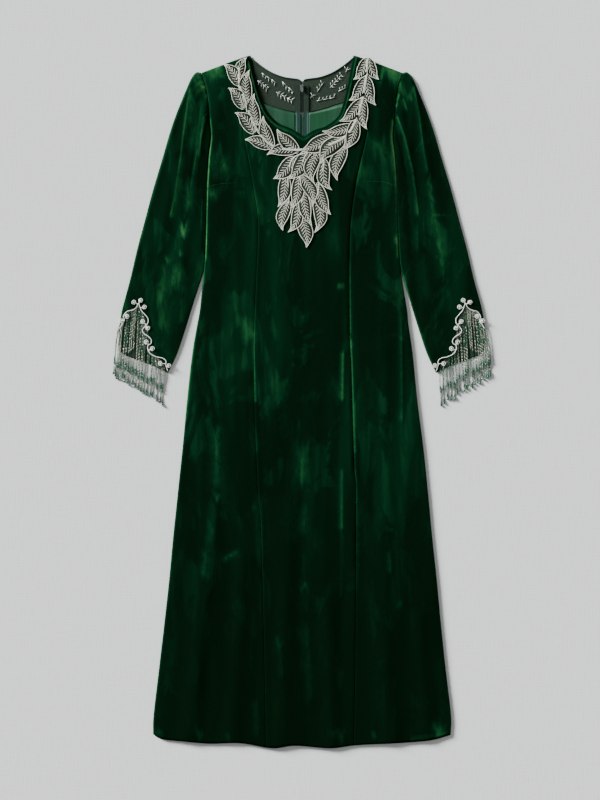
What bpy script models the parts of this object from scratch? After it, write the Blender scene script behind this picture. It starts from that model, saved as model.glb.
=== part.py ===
"""Long velvet dress with a leaf applique at the neck and fringed cuffs, laid flat on its back.

Units are metres in the scene and millimetres in the tables. +Z is up, +Y runs from the hem to the
neck, +X is to the right as the dress is seen from above, and the origin is under its middle.
"""
import math

import bmesh
import bpy
import numpy as np
from mathutils import Vector
from mathutils.bvhtree import BVHTree

MM = 0.001
WELD = 1e-6
CURVE_STEPS = 16

# Cloth walls and the gaps between them
WALL = 1.8
NET_WALL = 1.5
LINING_WALL = 1.0
SEAM_GAP = 0.3
BODY_TO_SLEEVE = 1.0
UNDER_FRONT = WALL + SEAM_GAP

# How far the front stands off the back: least at the skirt, most over the zip
SKIRT_LIFT = 1.2
CHEST_LIFT = 2.5
LIFT_FROM_Y = 50.0
LIFT_TO_Y = 115.0
EDGE_ROUND = 26.0
SHOULDER_ROUND = 70.0
SLEEVE_GAP = 0.6

# Rows and columns of the cloth
SKIRT_ROWS = 13
ARM_STEPS = 12
YOKE_ARM_STEP = 9
BACK_COLUMNS = 7
SIDE_COLUMNS = (0.0, 0.2, 0.42, 0.64, 0.84, 0.95, 1.0)
NECK_STEPS = 12
STRAP_STEPS = 1
SHOULDER_POINTS = 3
LINING_ROWS = 6
LINING_COLUMNS = 7
SLEEVE_ROWS = 14
SLEEVE_ROW_SPREAD = 1.25
SLEEVE_EDGE = 0.03
SLEEVE_EDGE_WALL = 2 * WALL
BESIDE_POINTS = 5

# Body side seam: height, then the left and the right edge
BODY_SIDE = (
    (-664, -298.0, 297.4),
    (-626, -297.0, 298.0),
    (-536, -286.5, 287.5),
    (-446, -276.0, 278.0),
    (-356, -266.0, 269.5),
    (-266, -257.5, 260.0),
    (-176, -248.0, 251.5),
    (-86, -238.5, 242.0),
    (4, -230.0, 230.5),
    (94, -220.0, 221.5),
    (154, -210.0, 213.0),
    (184, -204.5, 210.0),
    (254, -197.2, 199.0),
    (322, -192.6, 193.0),
    (427, -190.5, 190.5),
)
# Armhole from the underarm to the shoulder tip: distance from the middle, height
ARMHOLE = (
    (190.5, 427), (188.5, 457), (186.0, 493), (181.5, 530), (184.5, 568),
    (187.0, 600), (192.0, 630), (201.0, 658),
)
# Hem of the front, from the left corner to the right
HEM = (
    (-298, -664), (-280, -674), (-232, -679), (-184, -683), (-124, -682), (-60, -692),
    (-14, -687), (56, -692), (110, -686), (204, -681), (258, -676), (297.4, -665.6),
)
CENTRE_HEM_Y = -687
# Shoulder line from the neck point to the shoulder tip
NECK_POINT = (107, 692)
SHOULDER_TIP = (201, 658)
# Long seams that part the centre front from the side fronts, from the hem to the shoulder
LEFT_LONG_SEAM = (
    (-72, -690), (-76, -476), (-82, -252), (-87, -196), (-92, -90), (-95.5, 0), (-96, 62),
    (-96, 138), (-91, 260), (-88, 322), (-89, 374), (-98, 434), (-109, 494), (-116, 528),
    (-120, 568), (-126, 608), (-130, 648), (-132, 684),
)
RIGHT_LONG_SEAM = (
    (104, -688), (107, -476), (108, -188), (105, -136), (101, -20), (98.5, 76), (95.5, 138),
    (95.5, 322), (102, 398), (112, 458), (124, 510), (130, 540), (133, 580), (134, 620),
    (134, 650), (132, 684),
)
# Front neck edge from the left neck point round the V to the right one
FRONT_NECK_LEFT = ((-107, 692), (-97, 648), (-86, 609), (-72, 577), (-49, 554), (-22, 542), (3.6, 526))
FRONT_NECK_RIGHT = ((3.6, 526), (27, 540), (50, 548), (75, 568), (86, 595), (95, 632), (107, 692))
# Back neck edge from the neck point to the zip, and the seam between net and velvet
BACK_NECK = ((107, 692), (84, 673), (60, 658), (35, 649), (8, 645), (0, 640))
YOKE_SEAM = ((0, 579), (16, 579), (42, 585), (84, 598), (130, 606))

# Sleeve outer edge from the shoulder tip to the cuff, and its inner edge below the body's side
SLEEVE_OUTER = (
    (201, 658), (211, 659), (222, 646), (236, 614), (252, 574), (265, 536), (280, 484),
    (298, 424), (314, 364), (330, 304), (344, 244), (360, 184), (366, 146),
)
SLEEVE_LEAVES_BODY_Y = 262
SLEEVE_INNER = ((217, 198), (234, 143), (250, 96), (268, 58))
# Cuff edge of the upper layer: up from the outer edge to the peak, then down to the inner edge
NOTCH_RISE = ((366, 146), (358, 168), (349, 182), (337, 187), (327, 196))
NOTCH_FALL = ((327, 196), (318, 178), (309, 154), (306, 128), (299, 100), (281, 82), (268, 58))
# Hem of the sleeve's under layer
UNDER_HEM = ((366, 146), (367, 118), (360, 98), (336, 86), (304, 75), (268, 58))

# Soft ridges and troughs on the front: from x, y, to x, y, width, height
FRONT_FOLDS = (
    (-188, 428, -132, 437, 7, -0.8),
    (193, 428, 118, 440, 7, -0.8),
    (-150, 60, -176, -300, 22, 1.6),
    (-55, 250, -62, -120, 24, 1.2),
    (60, 300, 70, -60, 22, 1.3),
    (160, 120, 172, -260, 20, 1.5),
    (-190, -330, -226, -700, 20, 2.6),
    (-120, -300, -138, -700, 18, 2.0),
    (-30, -200, -34, -700, 24, 2.4),
    (52, -380, 60, -700, 18, 2.2),
    (150, -240, 178, -700, 22, 2.6),
    (232, -420, 252, -690, 16, 1.8),
)
# The same on the sleeves, which are drawn on the right side: side, x, y, x, y, width, height
SLEEVE_FOLDS = (
    (-1, 215, 646, 246, 496, 9, 4.2),
    (-1, 206, 636, 222, 552, 8, 3.0),
    (-1, 194, 598, 208, 496, 9, 4.4),
    (-1, 250, 470, 292, 296, 14, 2.6),
    (-1, 214, 420, 250, 236, 13, 2.2),
    (-1, 298, 346, 314, 262, 12, 1.8),
    (1, 218, 648, 240, 546, 9, 4.2),
    (1, 238, 550, 256, 446, 10, 3.4),
    (1, 194, 588, 212, 500, 9, 4.6),
    (1, 212, 500, 228, 402, 10, 2.8),
    (1, 262, 440, 300, 286, 14, 2.4),
    (1, 226, 330, 262, 200, 13, 2.2),
)

# Zip down the centre back
ZIP_TOP = 633.0
ZIP_LENGTH = 500.0
ZIP_Z = UNDER_FRONT
CHAIN_HALF = 2.9
CHAIN_HEIGHT = 2.0
CHAIN_BEVEL = 0.7
TAPE_HALF = 13.0
TAPE_WALL = 1.0
# Lining that shows below the net: its lower edge runs on under the front
LINING_OUTER = ((60, 505), (92, 545), (112, 596))
LINING_BOTTOM_Y = 487.0

# Slider body, its two lugs, and the pull tab that swings between them
SLIDER_Y = 628.0
SLIDER_OUTLINE = ((-3.7, 5.0), (-2.2, 6.2), (2.2, 6.2), (3.7, 5.0), (3.2, -5.0), (-3.2, -5.0))
SLIDER_THICK = 1.6
LUG = (1.0, 3.0, 1.5)
LUG_X = 1.7
LUG_SUNK = 0.4
PULL_AXIS_Y = SLIDER_Y + 3.5
SLIDER_TOP = ZIP_Z + CHAIN_HEIGHT + SEAM_GAP + SLIDER_THICK
PULL_AXIS_Z = SLIDER_TOP + 0.8
PULL_HALF_THICK = 0.5
PIVOT_RADIUS = 0.52
PIVOT_LENGTH = 1.57
PIVOT_SIDES = 12
PULL_OUTLINE = (
    (-0.8, 0.0), (-0.8, -2.3), (-2.1, -4.4), (-2.6, -8.5), (-1.7, -11.6), (0.0, -12.6),
    (1.7, -11.6), (2.6, -8.5), (2.1, -4.4), (0.8, -2.3), (0.8, 0.0),
)

# Leaves of the applique: stem end x, y, then tip x, y, then width
LEAVES = (
    (-127, 636, -157, 675, 21), (-126, 652, -111, 688, 17), (-118, 590, -147, 627, 22),
    (-110, 604, -105, 663, 22), (-98, 541, -134, 578, 23), (-91, 558, -95, 616, 22),
    (-66, 510, -114, 524, 20), (-61, 511, -77, 571, 21), (-11, 503, -50, 545, 22),
    (-14, 503, -70, 494, 20),
    (129, 683, 103, 644, 20), (134, 683, 154, 644, 18), (127, 645, 94, 602, 22),
    (130, 645, 148, 592, 21), (119, 601, 75, 561, 23), (122, 599, 130, 544, 20),
    (101, 549, 41, 541, 21), (107, 560, 85, 505, 23), (56, 528, -3, 502, 26),
    (82, 526, 37, 476, 28), (84, 506, 71, 442, 24),
    (-19, 485, -57, 446, 25), (8, 496, -28, 445, 25), (33, 500, 25, 436, 24),
    (45, 479, 60, 423, 22), (-28, 450, -46, 390, 22), (-6, 450, -23, 386, 22),
    (-2, 455, 22, 392, 23), (32, 434, 58, 374, 22), (-27, 397, -38, 342, 22),
    (-6, 393, -28, 339, 21), (3, 420, 19, 352, 21), (31, 405, 23, 339, 24),
    (-3, 368, 9, 308, 26),
)
# Stems that the leaves grow from
STEMS = (
    ((-126, 668), (-124, 632), (-112, 598), (-102, 568), (-88, 541), (-66, 516), (-38, 506), (-8, 503)),
    ((131, 684), (128, 646), (120, 600), (108, 562), (88, 532), (60, 516), (30, 508), (-8, 503)),
    ((88, 532), (84, 506)),
    ((30, 508), (8, 494), (-4, 455), (0, 415), (-4, 366)),
    ((14, 500), (-19, 486), (-28, 450), (-26, 420), (-27, 396)),
    ((30, 508), (44, 480), (34, 436), (31, 404)),
)
LEAF_RIM = 2.4
LEAF_VEIN = 1.7
LEAF_END_RISE = 0.55
LEAF_BEND = 0.07
LEAF_SECTIONS = (0.18, 0.46, 0.76)
LEAF_FULLEST = 0.85
LEAF_BLUNT = 0.8
LEAF_STEM_HALF = 0.8
LEAF_TIP_HALF = 0.4
STEM_WIDTH = 5.0
STEM_HEIGHT = 2.8
STEM_SECTIONS_A_POINT = 1.6
# The trim stands off the cloth by a gap, and its pieces by small steps more
TRIM_GAP = 0.45
TRIM_STEP = 0.06
LEAF_LEVELS = 4
STEM_LEVELS = 3
STEM_STEP = 0.03

# Cord scroll round the notch, from the outer edge over the peak to the inner edge
SCROLL = (
    (365, 147), (361, 153), (355, 163), (357, 171), (350, 181), (339, 184), (331, 189), (327, 197),
    (324, 191), (321, 183), (314, 175), (308, 167), (308, 158), (314, 151), (319, 144), (316, 137),
    (307, 131), (301, 124), (302, 117), (308, 113), (308, 105), (302, 96), (290, 90), (279, 88),
    (272, 82), (272, 73), (268, 62),
)
ROSETTES = (
    (336, 199), (322, 203), (315, 190), (350, 171), (361, 162), (318, 161), (308, 148),
    (311, 120), (299, 107), (283, 77), (266, 73),
)
SCROLL_RADIUS = 1.5
SCROLL_POINTS = 44
ROSETTE_RADIUS = 5.0
ROSETTE_TOP = 3.2
ROSETTE_HEIGHT = 2.6
ROSETTE_SIDES = 8
ROSETTE_RAISED = 0.12
SPUR_SIZE = 2.0
SPUR_RAISED = 0.3

# Bead fringe: strands hang from a strip along the notch
STRANDS = 34
STRAND_ROOTS = (361.5, 274.5)
STRAND_ENDS = ((377, 54), (276, -4))
STRAND_SIZE = 1.5
STRIP_GAP = 0.6
STRIP_WIDTH = 2.6
STRIP_BOTTOM = UNDER_FRONT + 0.1
STRIP_HEIGHT = 1.7
STRAND_RAISED = 0.1
STRAND_FLOOR = 0.3
STRAND_PAST_HEM = 8.0
STRAND_BEND_RANGE = (0.1, 0.9)
STRIP_SHORTER = 9.5
HEM_REACH = 9.0


def even_points(path, count):
    """Evenly spaced points along a path of straight lines."""
    path = np.asarray(path, float)
    steps = np.linalg.norm(np.diff(path, axis=0), axis=1)
    along = np.concatenate([[0.0], np.cumsum(steps)])
    wanted = np.linspace(0.0, along[-1], count)
    return np.column_stack([np.interp(wanted, along, path[:, i]) for i in range(path.shape[1])])


def smooth_path(points, per_span=CURVE_STEPS):
    """A fine path on a smooth curve through the given points."""
    knots = np.asarray(points, float)
    ends = np.vstack([2 * knots[0] - knots[1], knots, 2 * knots[-1] - knots[-2]])
    fine = []
    for a, b, c, d in zip(ends, ends[1:], ends[2:], ends[3:]):
        for u in np.arange(per_span) / per_span:
            bend = (2 * a - 5 * b + 4 * c - d) * u * u + (3 * b - a - 3 * c + d) * u ** 3
            fine.append(0.5 * (2 * b + (c - a) * u + bend))
    fine.append(knots[-1])
    return np.array(fine)


def smooth_points(points, count):
    return even_points(smooth_path(points), count)


def points_in_two(points, level, below, above):
    """Points along a rising curve, evenly spaced below a height and above it."""
    path = smooth_path(points)
    split = int(np.argmax(path[:, 1] >= level))
    lower = even_points(path[: split + 1], below + 1)
    upper = even_points(path[split:], above + 1)
    return np.vstack([lower, upper[1:]])


def join(*runs):
    """Runs of points end to end, with each shared end kept once."""
    return np.vstack([runs[0]] + [run[1:] for run in runs[1:]])


def mirrored(points, side):
    """Points drawn on the right side, on side +1 or -1."""
    return np.asarray(points, float) * (side, 1)


def shifted(points, dx):
    return np.asarray(points, float) + (dx, 0)


def patch(bottom, top, left, right, columns=None):
    """Rows of points that fill four edges: left and right run upwards, bottom and top run from left."""
    if columns is None:
        columns = np.linspace(0, 1, len(bottom))
    v = np.asarray(columns)[None, :, None]
    t = np.linspace(0, 1, len(left))[:, None, None]
    across = (1 - v) * left[:, None] + v * right[:, None]
    along = (1 - t) * bottom[None] + t * top[None]
    corners = (1 - t) * ((1 - v) * bottom[0] + v * bottom[-1]) + t * ((1 - v) * top[0] + v * top[-1])
    return across + along - corners


def at_fractions(path, fractions):
    """Points at the given fractions of the length of a path."""
    path = np.asarray(path, float)
    steps = np.linalg.norm(np.diff(path, axis=0), axis=1)
    along = np.concatenate([[0.0], np.cumsum(steps)]) / steps.sum()
    return np.column_stack([np.interp(fractions, along, path[:, i]) for i in range(2)])


def ease(value):
    value = np.clip(value, 0.0, 1.0)
    return value * value * (3 - 2 * value)


def fold_height(x, y, folds):
    """Sum of the soft ridges at x, y. Each fades out at its ends."""
    total = np.zeros(np.broadcast(x, y).shape)
    for x0, y0, x1, y1, width, height in folds:
        run = math.hypot(x1 - x0, y1 - y0)
        ux = (x1 - x0) / run
        uy = (y1 - y0) / run
        along = (x - x0) * ux + (y - y0) * uy
        across = (x - x0) * uy - (y - y0) * ux
        fade = ease((along + width) / (2 * width)) * ease((run + width - along) / (2 * width))
        total = total + height * fade * np.exp(-((across / width) ** 2))
    return total


def side_points(side):
    """Body edge on one side, from the hem corner to the underarm."""
    column = 2 if side > 0 else 1
    return np.array([(row[column], row[0]) for row in BODY_SIDE], float)


ARM_POINTS = smooth_points(ARMHOLE, ARM_STEPS + 1)


def body_half(y, side):
    """Distance from the middle to the body's edge at a height."""
    edge = smooth_path(side_points(side))
    path = np.vstack([edge[:-1], smooth_path(mirrored(ARMHOLE, side))])
    return np.interp(y, path[:, 1], np.abs(path[:, 0]))


def shoulder_y(x):
    """Height of the shoulder line at a distance from the middle."""
    slope = (SHOULDER_TIP[1] - NECK_POINT[1]) / (SHOULDER_TIP[0] - NECK_POINT[0])
    return NECK_POINT[1] + slope * np.maximum(np.abs(x) - NECK_POINT[0], 0)


def front_top(x, y):
    """Height of the front's outer face: low at the edges, softly rounded, with its folds."""
    half = np.where(x > 0, body_half(y, 1), body_half(y, -1))
    inside = np.clip((half - np.abs(x)) / EDGE_ROUND, 0, 1)
    rounded = np.sqrt(1 - (1 - inside) ** 2)
    shoulder = ease((shoulder_y(x) - y) / SHOULDER_ROUND)
    lift = SKIRT_LIFT + (CHEST_LIFT - SKIRT_LIFT) * ease((y - LIFT_FROM_Y) / (LIFT_TO_Y - LIFT_FROM_Y))
    raised = lift + fold_height(x, y, FRONT_FOLDS)
    return UNDER_FRONT + WALL + raised * rounded * shoulder


def sleeve_top(x, y, side):
    """Height of a sleeve's upper face, at a distance from the middle."""
    folds = [row[1:] for row in SLEEVE_FOLDS if row[0] == side]
    return 2 * WALL + SLEEVE_GAP + fold_height(np.abs(x), y, folds)


def material(name, colour, roughness, metallic=0.0):
    made = bpy.data.materials.new(name)
    made.use_nodes = True
    shader = made.node_tree.nodes["Principled BSDF"]
    shader.inputs["Base Color"].default_value = (*colour, 1.0)
    shader.inputs["Roughness"].default_value = roughness
    shader.inputs["Metallic"].default_value = metallic
    made.diffuse_color = (*colour, 1.0)
    return made


def mesh_object(name, points, faces, finish):
    """A mesh object from points in millimetres, with its faces turned outwards."""
    mesh = bpy.data.meshes.new(name)
    mesh.from_pydata([tuple(p) for p in np.asarray(points) * MM], [], faces)
    shape = bmesh.new()
    shape.from_mesh(mesh)
    bmesh.ops.recalc_face_normals(shape, faces=shape.faces)
    shape.to_mesh(mesh)
    shape.free()
    mesh.materials.append(finish)
    made = bpy.data.objects.new(name, mesh)
    parts.objects.link(made)
    return made


def grid_faces(rows, columns):
    faces = []
    for i in range(rows - 1):
        for j in range(columns - 1):
            a = i * columns + j
            faces.append((a, a + 1, a + columns + 1, a + columns))
    return faces


def sheet(name, flat, height, thickness, finish):
    """A cloth panel: an open face at a height, given a wall below it."""
    rows, columns = flat.shape[:2]
    points = np.column_stack([flat.reshape(-1, 2), np.broadcast_to(height, (rows, columns)).reshape(-1)])
    mesh = bpy.data.meshes.new(name)
    mesh.from_pydata([tuple(p) for p in points * MM], [], grid_faces(rows, columns))
    if sum(face.normal.z for face in mesh.polygons) < 0:
        mesh.flip_normals()
    mesh.materials.append(finish)
    made = bpy.data.objects.new(name, mesh)
    parts.objects.link(made)
    wall = made.modifiers.new("wall", "SOLIDIFY")
    wall.thickness = thickness * MM
    wall.offset = -1.0
    return made


def tube(name, outer, inner, finish):
    """A wall between two loops at each station, open at both ends."""
    stations, around = outer.shape[:2]
    points = np.vstack([outer.reshape(-1, 3), inner.reshape(-1, 3)])
    shift = stations * around
    faces = []
    for i in range(stations - 1):
        for j in range(around):
            k = (j + 1) % around
            a, b = i * around + j, i * around + k
            faces.append((a, b, b + around, a + around))
            faces.append((shift + a, shift + a + around, shift + b + around, shift + b))
    last = (stations - 1) * around
    for j in range(around):
        k = (j + 1) % around
        faces.append((j, shift + j, shift + k, k))
        faces.append((last + j, last + k, shift + last + k, shift + last + j))
    return mesh_object(name, points, faces, finish)


def capped_loft(sections):
    """Points and faces of a closed body through sections of the same number of points."""
    count = len(sections[0])
    points = [p for section in sections for p in section]
    faces = []
    for i in range(len(sections) - 1):
        for j in range(count):
            k = (j + 1) % count
            faces.append((i * count + j, i * count + k, (i + 1) * count + k, (i + 1) * count + j))
    faces.append(tuple(range(count)))
    faces.append(tuple(range(len(points) - count, len(points))))
    return points, faces


def plain_mesh(made):
    """The object with its modifiers applied, its caps welded and its curve removed."""
    bpy.context.view_layer.update()
    graph = bpy.context.evaluated_depsgraph_get()
    mesh = bpy.data.meshes.new_from_object(made.evaluated_get(graph))
    shape = bmesh.new()
    shape.from_mesh(mesh)
    bmesh.ops.remove_doubles(shape, verts=shape.verts, dist=WELD)
    bmesh.ops.recalc_face_normals(shape, faces=shape.faces)
    shape.to_mesh(mesh)
    shape.free()
    result = bpy.data.objects.new(made.name, mesh)
    result.matrix_world = made.matrix_world
    name = made.name
    bpy.data.objects.remove(made)
    result.name = name
    parts.objects.link(result)
    return result


def united(base, others):
    """The union of a body and more bodies, as one plain mesh."""
    for other in others:
        join_up = base.modifiers.new("join", "BOOLEAN")
        join_up.operation = "UNION"
        join_up.object = other
        base = plain_mesh(base)
        bpy.data.objects.remove(other)
    return base


def keep_main_body(made):
    """Takes away the slivers that meet the main body at no more than a corner."""
    shape = bmesh.new()
    shape.from_mesh(made.data)
    waiting = set(shape.faces)
    groups = []
    while waiting:
        front = [waiting.pop()]
        group = list(front)
        while front:
            for edge in front.pop().edges:
                near = [face for face in edge.link_faces if face in waiting and edge.is_manifold]
                waiting.difference_update(near)
                front += near
                group += near
        groups.append(group)
    groups.sort(key=len)
    for group in groups[:-1]:
        bmesh.ops.delete(shape, geom=group, context="FACES")
    shape.to_mesh(made.data)
    shape.free()


def seam_rows(points, gap):
    return shifted(points_in_two(points, ARMHOLE[0][1], SKIRT_ROWS, ARM_STEPS), gap)


def body_edge_rows(side, gap):
    """The body's side seam and armhole, with the rows of the fronts."""
    seam = smooth_points(side_points(side), SKIRT_ROWS + 1)
    armhole = mirrored(ARM_POINTS, side)
    return shifted(join(seam, armhole), -side * gap)


def hem_part(x_from, x_to, steps):
    """The front's hem between two places."""
    path = smooth_path(HEM)
    xs = np.linspace(x_from, x_to, steps + 1)
    return np.column_stack([xs, np.interp(xs, path[:, 0], path[:, 1])])


def make_fronts():
    half = SEAM_GAP / 2
    left = seam_rows(LEFT_LONG_SEAM, half)
    right = seam_rows(RIGHT_LONG_SEAM, -half)
    neck_left = np.array(FRONT_NECK_LEFT, float)
    neck_right = np.array(FRONT_NECK_RIGHT, float)
    top = join(
        even_points([left[-1], neck_left[0]], STRAP_STEPS + 1),
        smooth_points(neck_left, NECK_STEPS // 2 + 1),
        smooth_points(neck_right, NECK_STEPS // 2 + 1),
        even_points([neck_right[-1], right[-1]], STRAP_STEPS + 1),
    )
    bottom = hem_part(left[0, 0], right[0, 0], len(top) - 1)
    left[0], right[0] = bottom[0], bottom[-1]
    flat = patch(bottom, top, left, right)
    sheet("front_centre", flat, front_top(flat[..., 0], flat[..., 1]), WALL, velvet)

    sides = ((-1, LEFT_LONG_SEAM, "front_side_left"), (1, RIGHT_LONG_SEAM, "front_side_right"))
    for side, seam, name in sides:
        inner = seam_rows(seam, side * half)
        outer = body_edge_rows(side, half)
        columns = np.array(SIDE_COLUMNS)
        bottom = hem_part(inner[0, 0], outer[0, 0], 1)
        xs = bottom[0, 0] + (bottom[1, 0] - bottom[0, 0]) * columns
        path = smooth_path(HEM)
        bottom = np.column_stack([xs, np.interp(xs, path[:, 0], path[:, 1])])
        inner[0], outer[0] = bottom[0], bottom[-1]
        top = inner[-1] + (outer[-1] - inner[-1]) * columns[:, None]
        flat = patch(bottom, top, inner, outer, columns)
        sheet(name, flat, front_top(flat[..., 0], flat[..., 1]), WALL, velvet)


def make_back():
    """Two velvet pieces that meet at the centre back, with a net yoke in two halves above them."""
    half = SEAM_GAP / 2
    for side, word in ((-1, "left"), (1, "right")):
        skirt = smooth_points(side_points(side), SKIRT_ROWS + 1)
        armhole = mirrored(ARM_POINTS, side)
        outer = shifted(join(skirt, armhole[: YOKE_ARM_STEP + 1]), -side * half)
        seam = mirrored(smooth_points(YOKE_SEAM + (tuple(ARM_POINTS[YOKE_ARM_STEP]),), BACK_COLUMNS), side)
        top = seam - (0, half)
        top[0, 0] = side * half
        top[-1] = outer[-1]
        centre_low = np.array((side * half, CENTRE_HEM_Y))
        inner = join(
            even_points([centre_low, (side * half, ARMHOLE[0][1])], SKIRT_ROWS + 1),
            even_points([(side * half, ARMHOLE[0][1]), top[0]], YOKE_ARM_STEP + 1),
        )
        xs = np.linspace(inner[0, 0], outer[0, 0], len(top))
        hem = smooth_path(HEM)
        bottom = np.column_stack([xs, np.interp(xs, hem[:, 0], hem[:, 1])])
        inner[0], outer[0] = bottom[0], bottom[-1]
        flat = patch(bottom, top, inner, outer)
        sheet("back_" + word, flat, WALL, WALL, velvet)

        low = seam + (0, half)
        low[0, 0] = side * half
        outer = shifted(armhole[YOKE_ARM_STEP:], -side * half)
        low[-1] = outer[0] + (0, 2 * half)
        outer[0] = low[-1]
        neck = smooth_points(mirrored(BACK_NECK, side), BACK_COLUMNS + 1 - SHOULDER_POINTS)[::-1]
        neck[0, 0] = side * half
        shoulder = even_points([mirrored([NECK_POINT], side)[0], outer[-1]], SHOULDER_POINTS)
        top = join(neck, shoulder)
        inner = even_points([low[0], top[0]], len(outer))
        flat = patch(low, top, inner, outer)
        sheet("yoke_" + word, flat, NET_WALL, NET_WALL, net)


def make_lining():
    """The lining of the back, only as far as it shows inside the neck."""
    for side, word in ((-1, "left"), (1, "right")):
        inner_x = TAPE_HALF + SEAM_GAP
        outer = mirrored(smooth_points(LINING_OUTER, LINING_ROWS), side)
        seam = smooth_path(YOKE_SEAM)
        xs = np.linspace(inner_x, abs(outer[-1, 0]), LINING_COLUMNS)
        top = np.column_stack([side * xs, np.interp(xs, seam[:, 0], seam[:, 1]) - 2 * SEAM_GAP])
        outer[-1] = top[-1]
        bottom = even_points([(side * inner_x, LINING_BOTTOM_Y), outer[0]], LINING_COLUMNS)
        inner = even_points([bottom[0], top[0]], LINING_ROWS)
        flat = patch(bottom, top, inner, outer)
        sheet("lining_" + word, flat, UNDER_FRONT + LINING_WALL, LINING_WALL, satin)


def make_zip():
    """The tapes and the closed chain down the centre back."""
    low = ZIP_TOP - ZIP_LENGTH
    for side, word in ((-1, "left"), (1, "right")):
        near = side * (CHAIN_HALF + SEAM_GAP)
        far = side * TAPE_HALF
        flat = np.array([[(near, low), (far, low)], [(near, ZIP_TOP), (far, ZIP_TOP)]])
        sheet("zip_tape_" + word, flat, ZIP_Z + TAPE_WALL, TAPE_WALL, tape)
    box("zip_chain", (0, ZIP_TOP - ZIP_LENGTH / 2, ZIP_Z + CHAIN_HEIGHT / 2),
        (2 * CHAIN_HALF, ZIP_LENGTH, CHAIN_HEIGHT), tape, bevel=CHAIN_BEVEL)


def box(name, middle, size, finish, bevel=0.0):
    bpy.ops.mesh.primitive_cube_add(size=1.0, location=Vector(middle) * MM)
    made = bpy.context.object
    made.name = name
    made.scale = Vector(size) * MM
    bpy.ops.object.transform_apply(location=False, rotation=False, scale=True)
    for collection in made.users_collection:
        collection.objects.unlink(made)
    parts.objects.link(made)
    made.data.materials.append(finish)
    if bevel:
        rounded = made.modifiers.new("rounded", "BEVEL")
        rounded.width = bevel * MM
        rounded.segments = 1
    return made


def plate(name, outline, place, thick, finish):
    """A flat outline with a thickness, standing on a height."""
    curve = bpy.data.curves.new(name, "CURVE")
    curve.dimensions = "2D"
    curve.fill_mode = "BOTH"
    curve.extrude = thick / 2 * MM
    line = curve.splines.new("POLY")
    line.points.add(len(outline) - 1)
    for point, (x, y) in zip(line.points, outline):
        point.co = (x * MM, y * MM, 0, 1)
    line.use_cyclic_u = True
    made = bpy.data.objects.new(name, curve)
    made.location = Vector(place) * MM + Vector((0, 0, thick / 2 * MM))
    curve.materials.append(finish)
    parts.objects.link(made)
    return plain_mesh(made)


def make_slider():
    base = SLIDER_TOP - SLIDER_THICK
    slider = plate("zip_slider", SLIDER_OUTLINE, (0, SLIDER_Y, base), SLIDER_THICK, metal)
    wide, deep, high = LUG
    lugs = []
    for side in (-1, 1):
        middle = (side * LUG_X, PULL_AXIS_Y, SLIDER_TOP + (high - LUG_SUNK) / 2)
        lugs.append(plain_mesh(box("lug", middle, (wide, deep, high + LUG_SUNK), metal)))
    united(slider, lugs)

    low = PULL_AXIS_Z - PULL_HALF_THICK
    tab = plate("zip_pull", PULL_OUTLINE, (0, PULL_AXIS_Y, low), 2 * PULL_HALF_THICK, metal)
    bpy.ops.mesh.primitive_cylinder_add(vertices=PIVOT_SIDES, radius=PIVOT_RADIUS * MM, depth=PIVOT_LENGTH * MM,
                                        location=Vector((0, PULL_AXIS_Y, PULL_AXIS_Z)) * MM,
                                        rotation=(0, math.pi / 2, 0))
    barrel = bpy.context.object
    for collection in barrel.users_collection:
        collection.objects.unlink(barrel)
    parts.objects.link(barrel)
    united(tab, [plain_mesh(barrel)])


def notch_points(side):
    """The notch from the outer edge over its peak to the inner edge, a point for each sleeve column."""
    rise_steps = ARM_STEPS // 3
    return join(
        smooth_points(mirrored(NOTCH_RISE, side), rise_steps + 1),
        smooth_points(mirrored(NOTCH_FALL, side), ARM_STEPS - rise_steps + 1),
    )


def sleeve_patches(side):
    """Fractions across, and the rows of points of the upper and the under layer."""
    arm = mirrored(ARM_POINTS[::-1], side)
    arm = shifted(arm, side * SEAM_GAP / 2)
    steps = np.linspace(0, 1, len(arm))
    across = np.sort(np.append(steps, (SLEEVE_EDGE, 1 - SLEEVE_EDGE)))

    def spread(path):
        return np.column_stack([np.interp(across, steps, path[:, i]) for i in range(2)])

    notch = notch_points(side)
    under = smooth_points(mirrored(UNDER_HEM, side), len(arm))
    rows = (np.arange(SLEEVE_ROWS) / (SLEEVE_ROWS - 1)) ** SLEEVE_ROW_SPREAD
    outer = at_fractions(smooth_path(mirrored(SLEEVE_OUTER, side)), rows)
    beside = [(side * (body_half(y, side) + BODY_TO_SLEEVE), y)
              for y in np.linspace(ARMHOLE[0][1], SLEEVE_LEAVES_BODY_Y, BESIDE_POINTS)]
    inner = at_fractions(smooth_path(np.vstack([beside, mirrored(SLEEVE_INNER, side)])), rows)
    outer[0] = arm[0]
    inner[0] = arm[-1]
    upper = patch(outer, inner, spread(arm), spread(notch), rows)
    lower = patch(outer, inner, spread(arm), spread(under), rows)
    return across, upper.transpose(1, 0, 2), lower.transpose(1, 0, 2)


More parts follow.
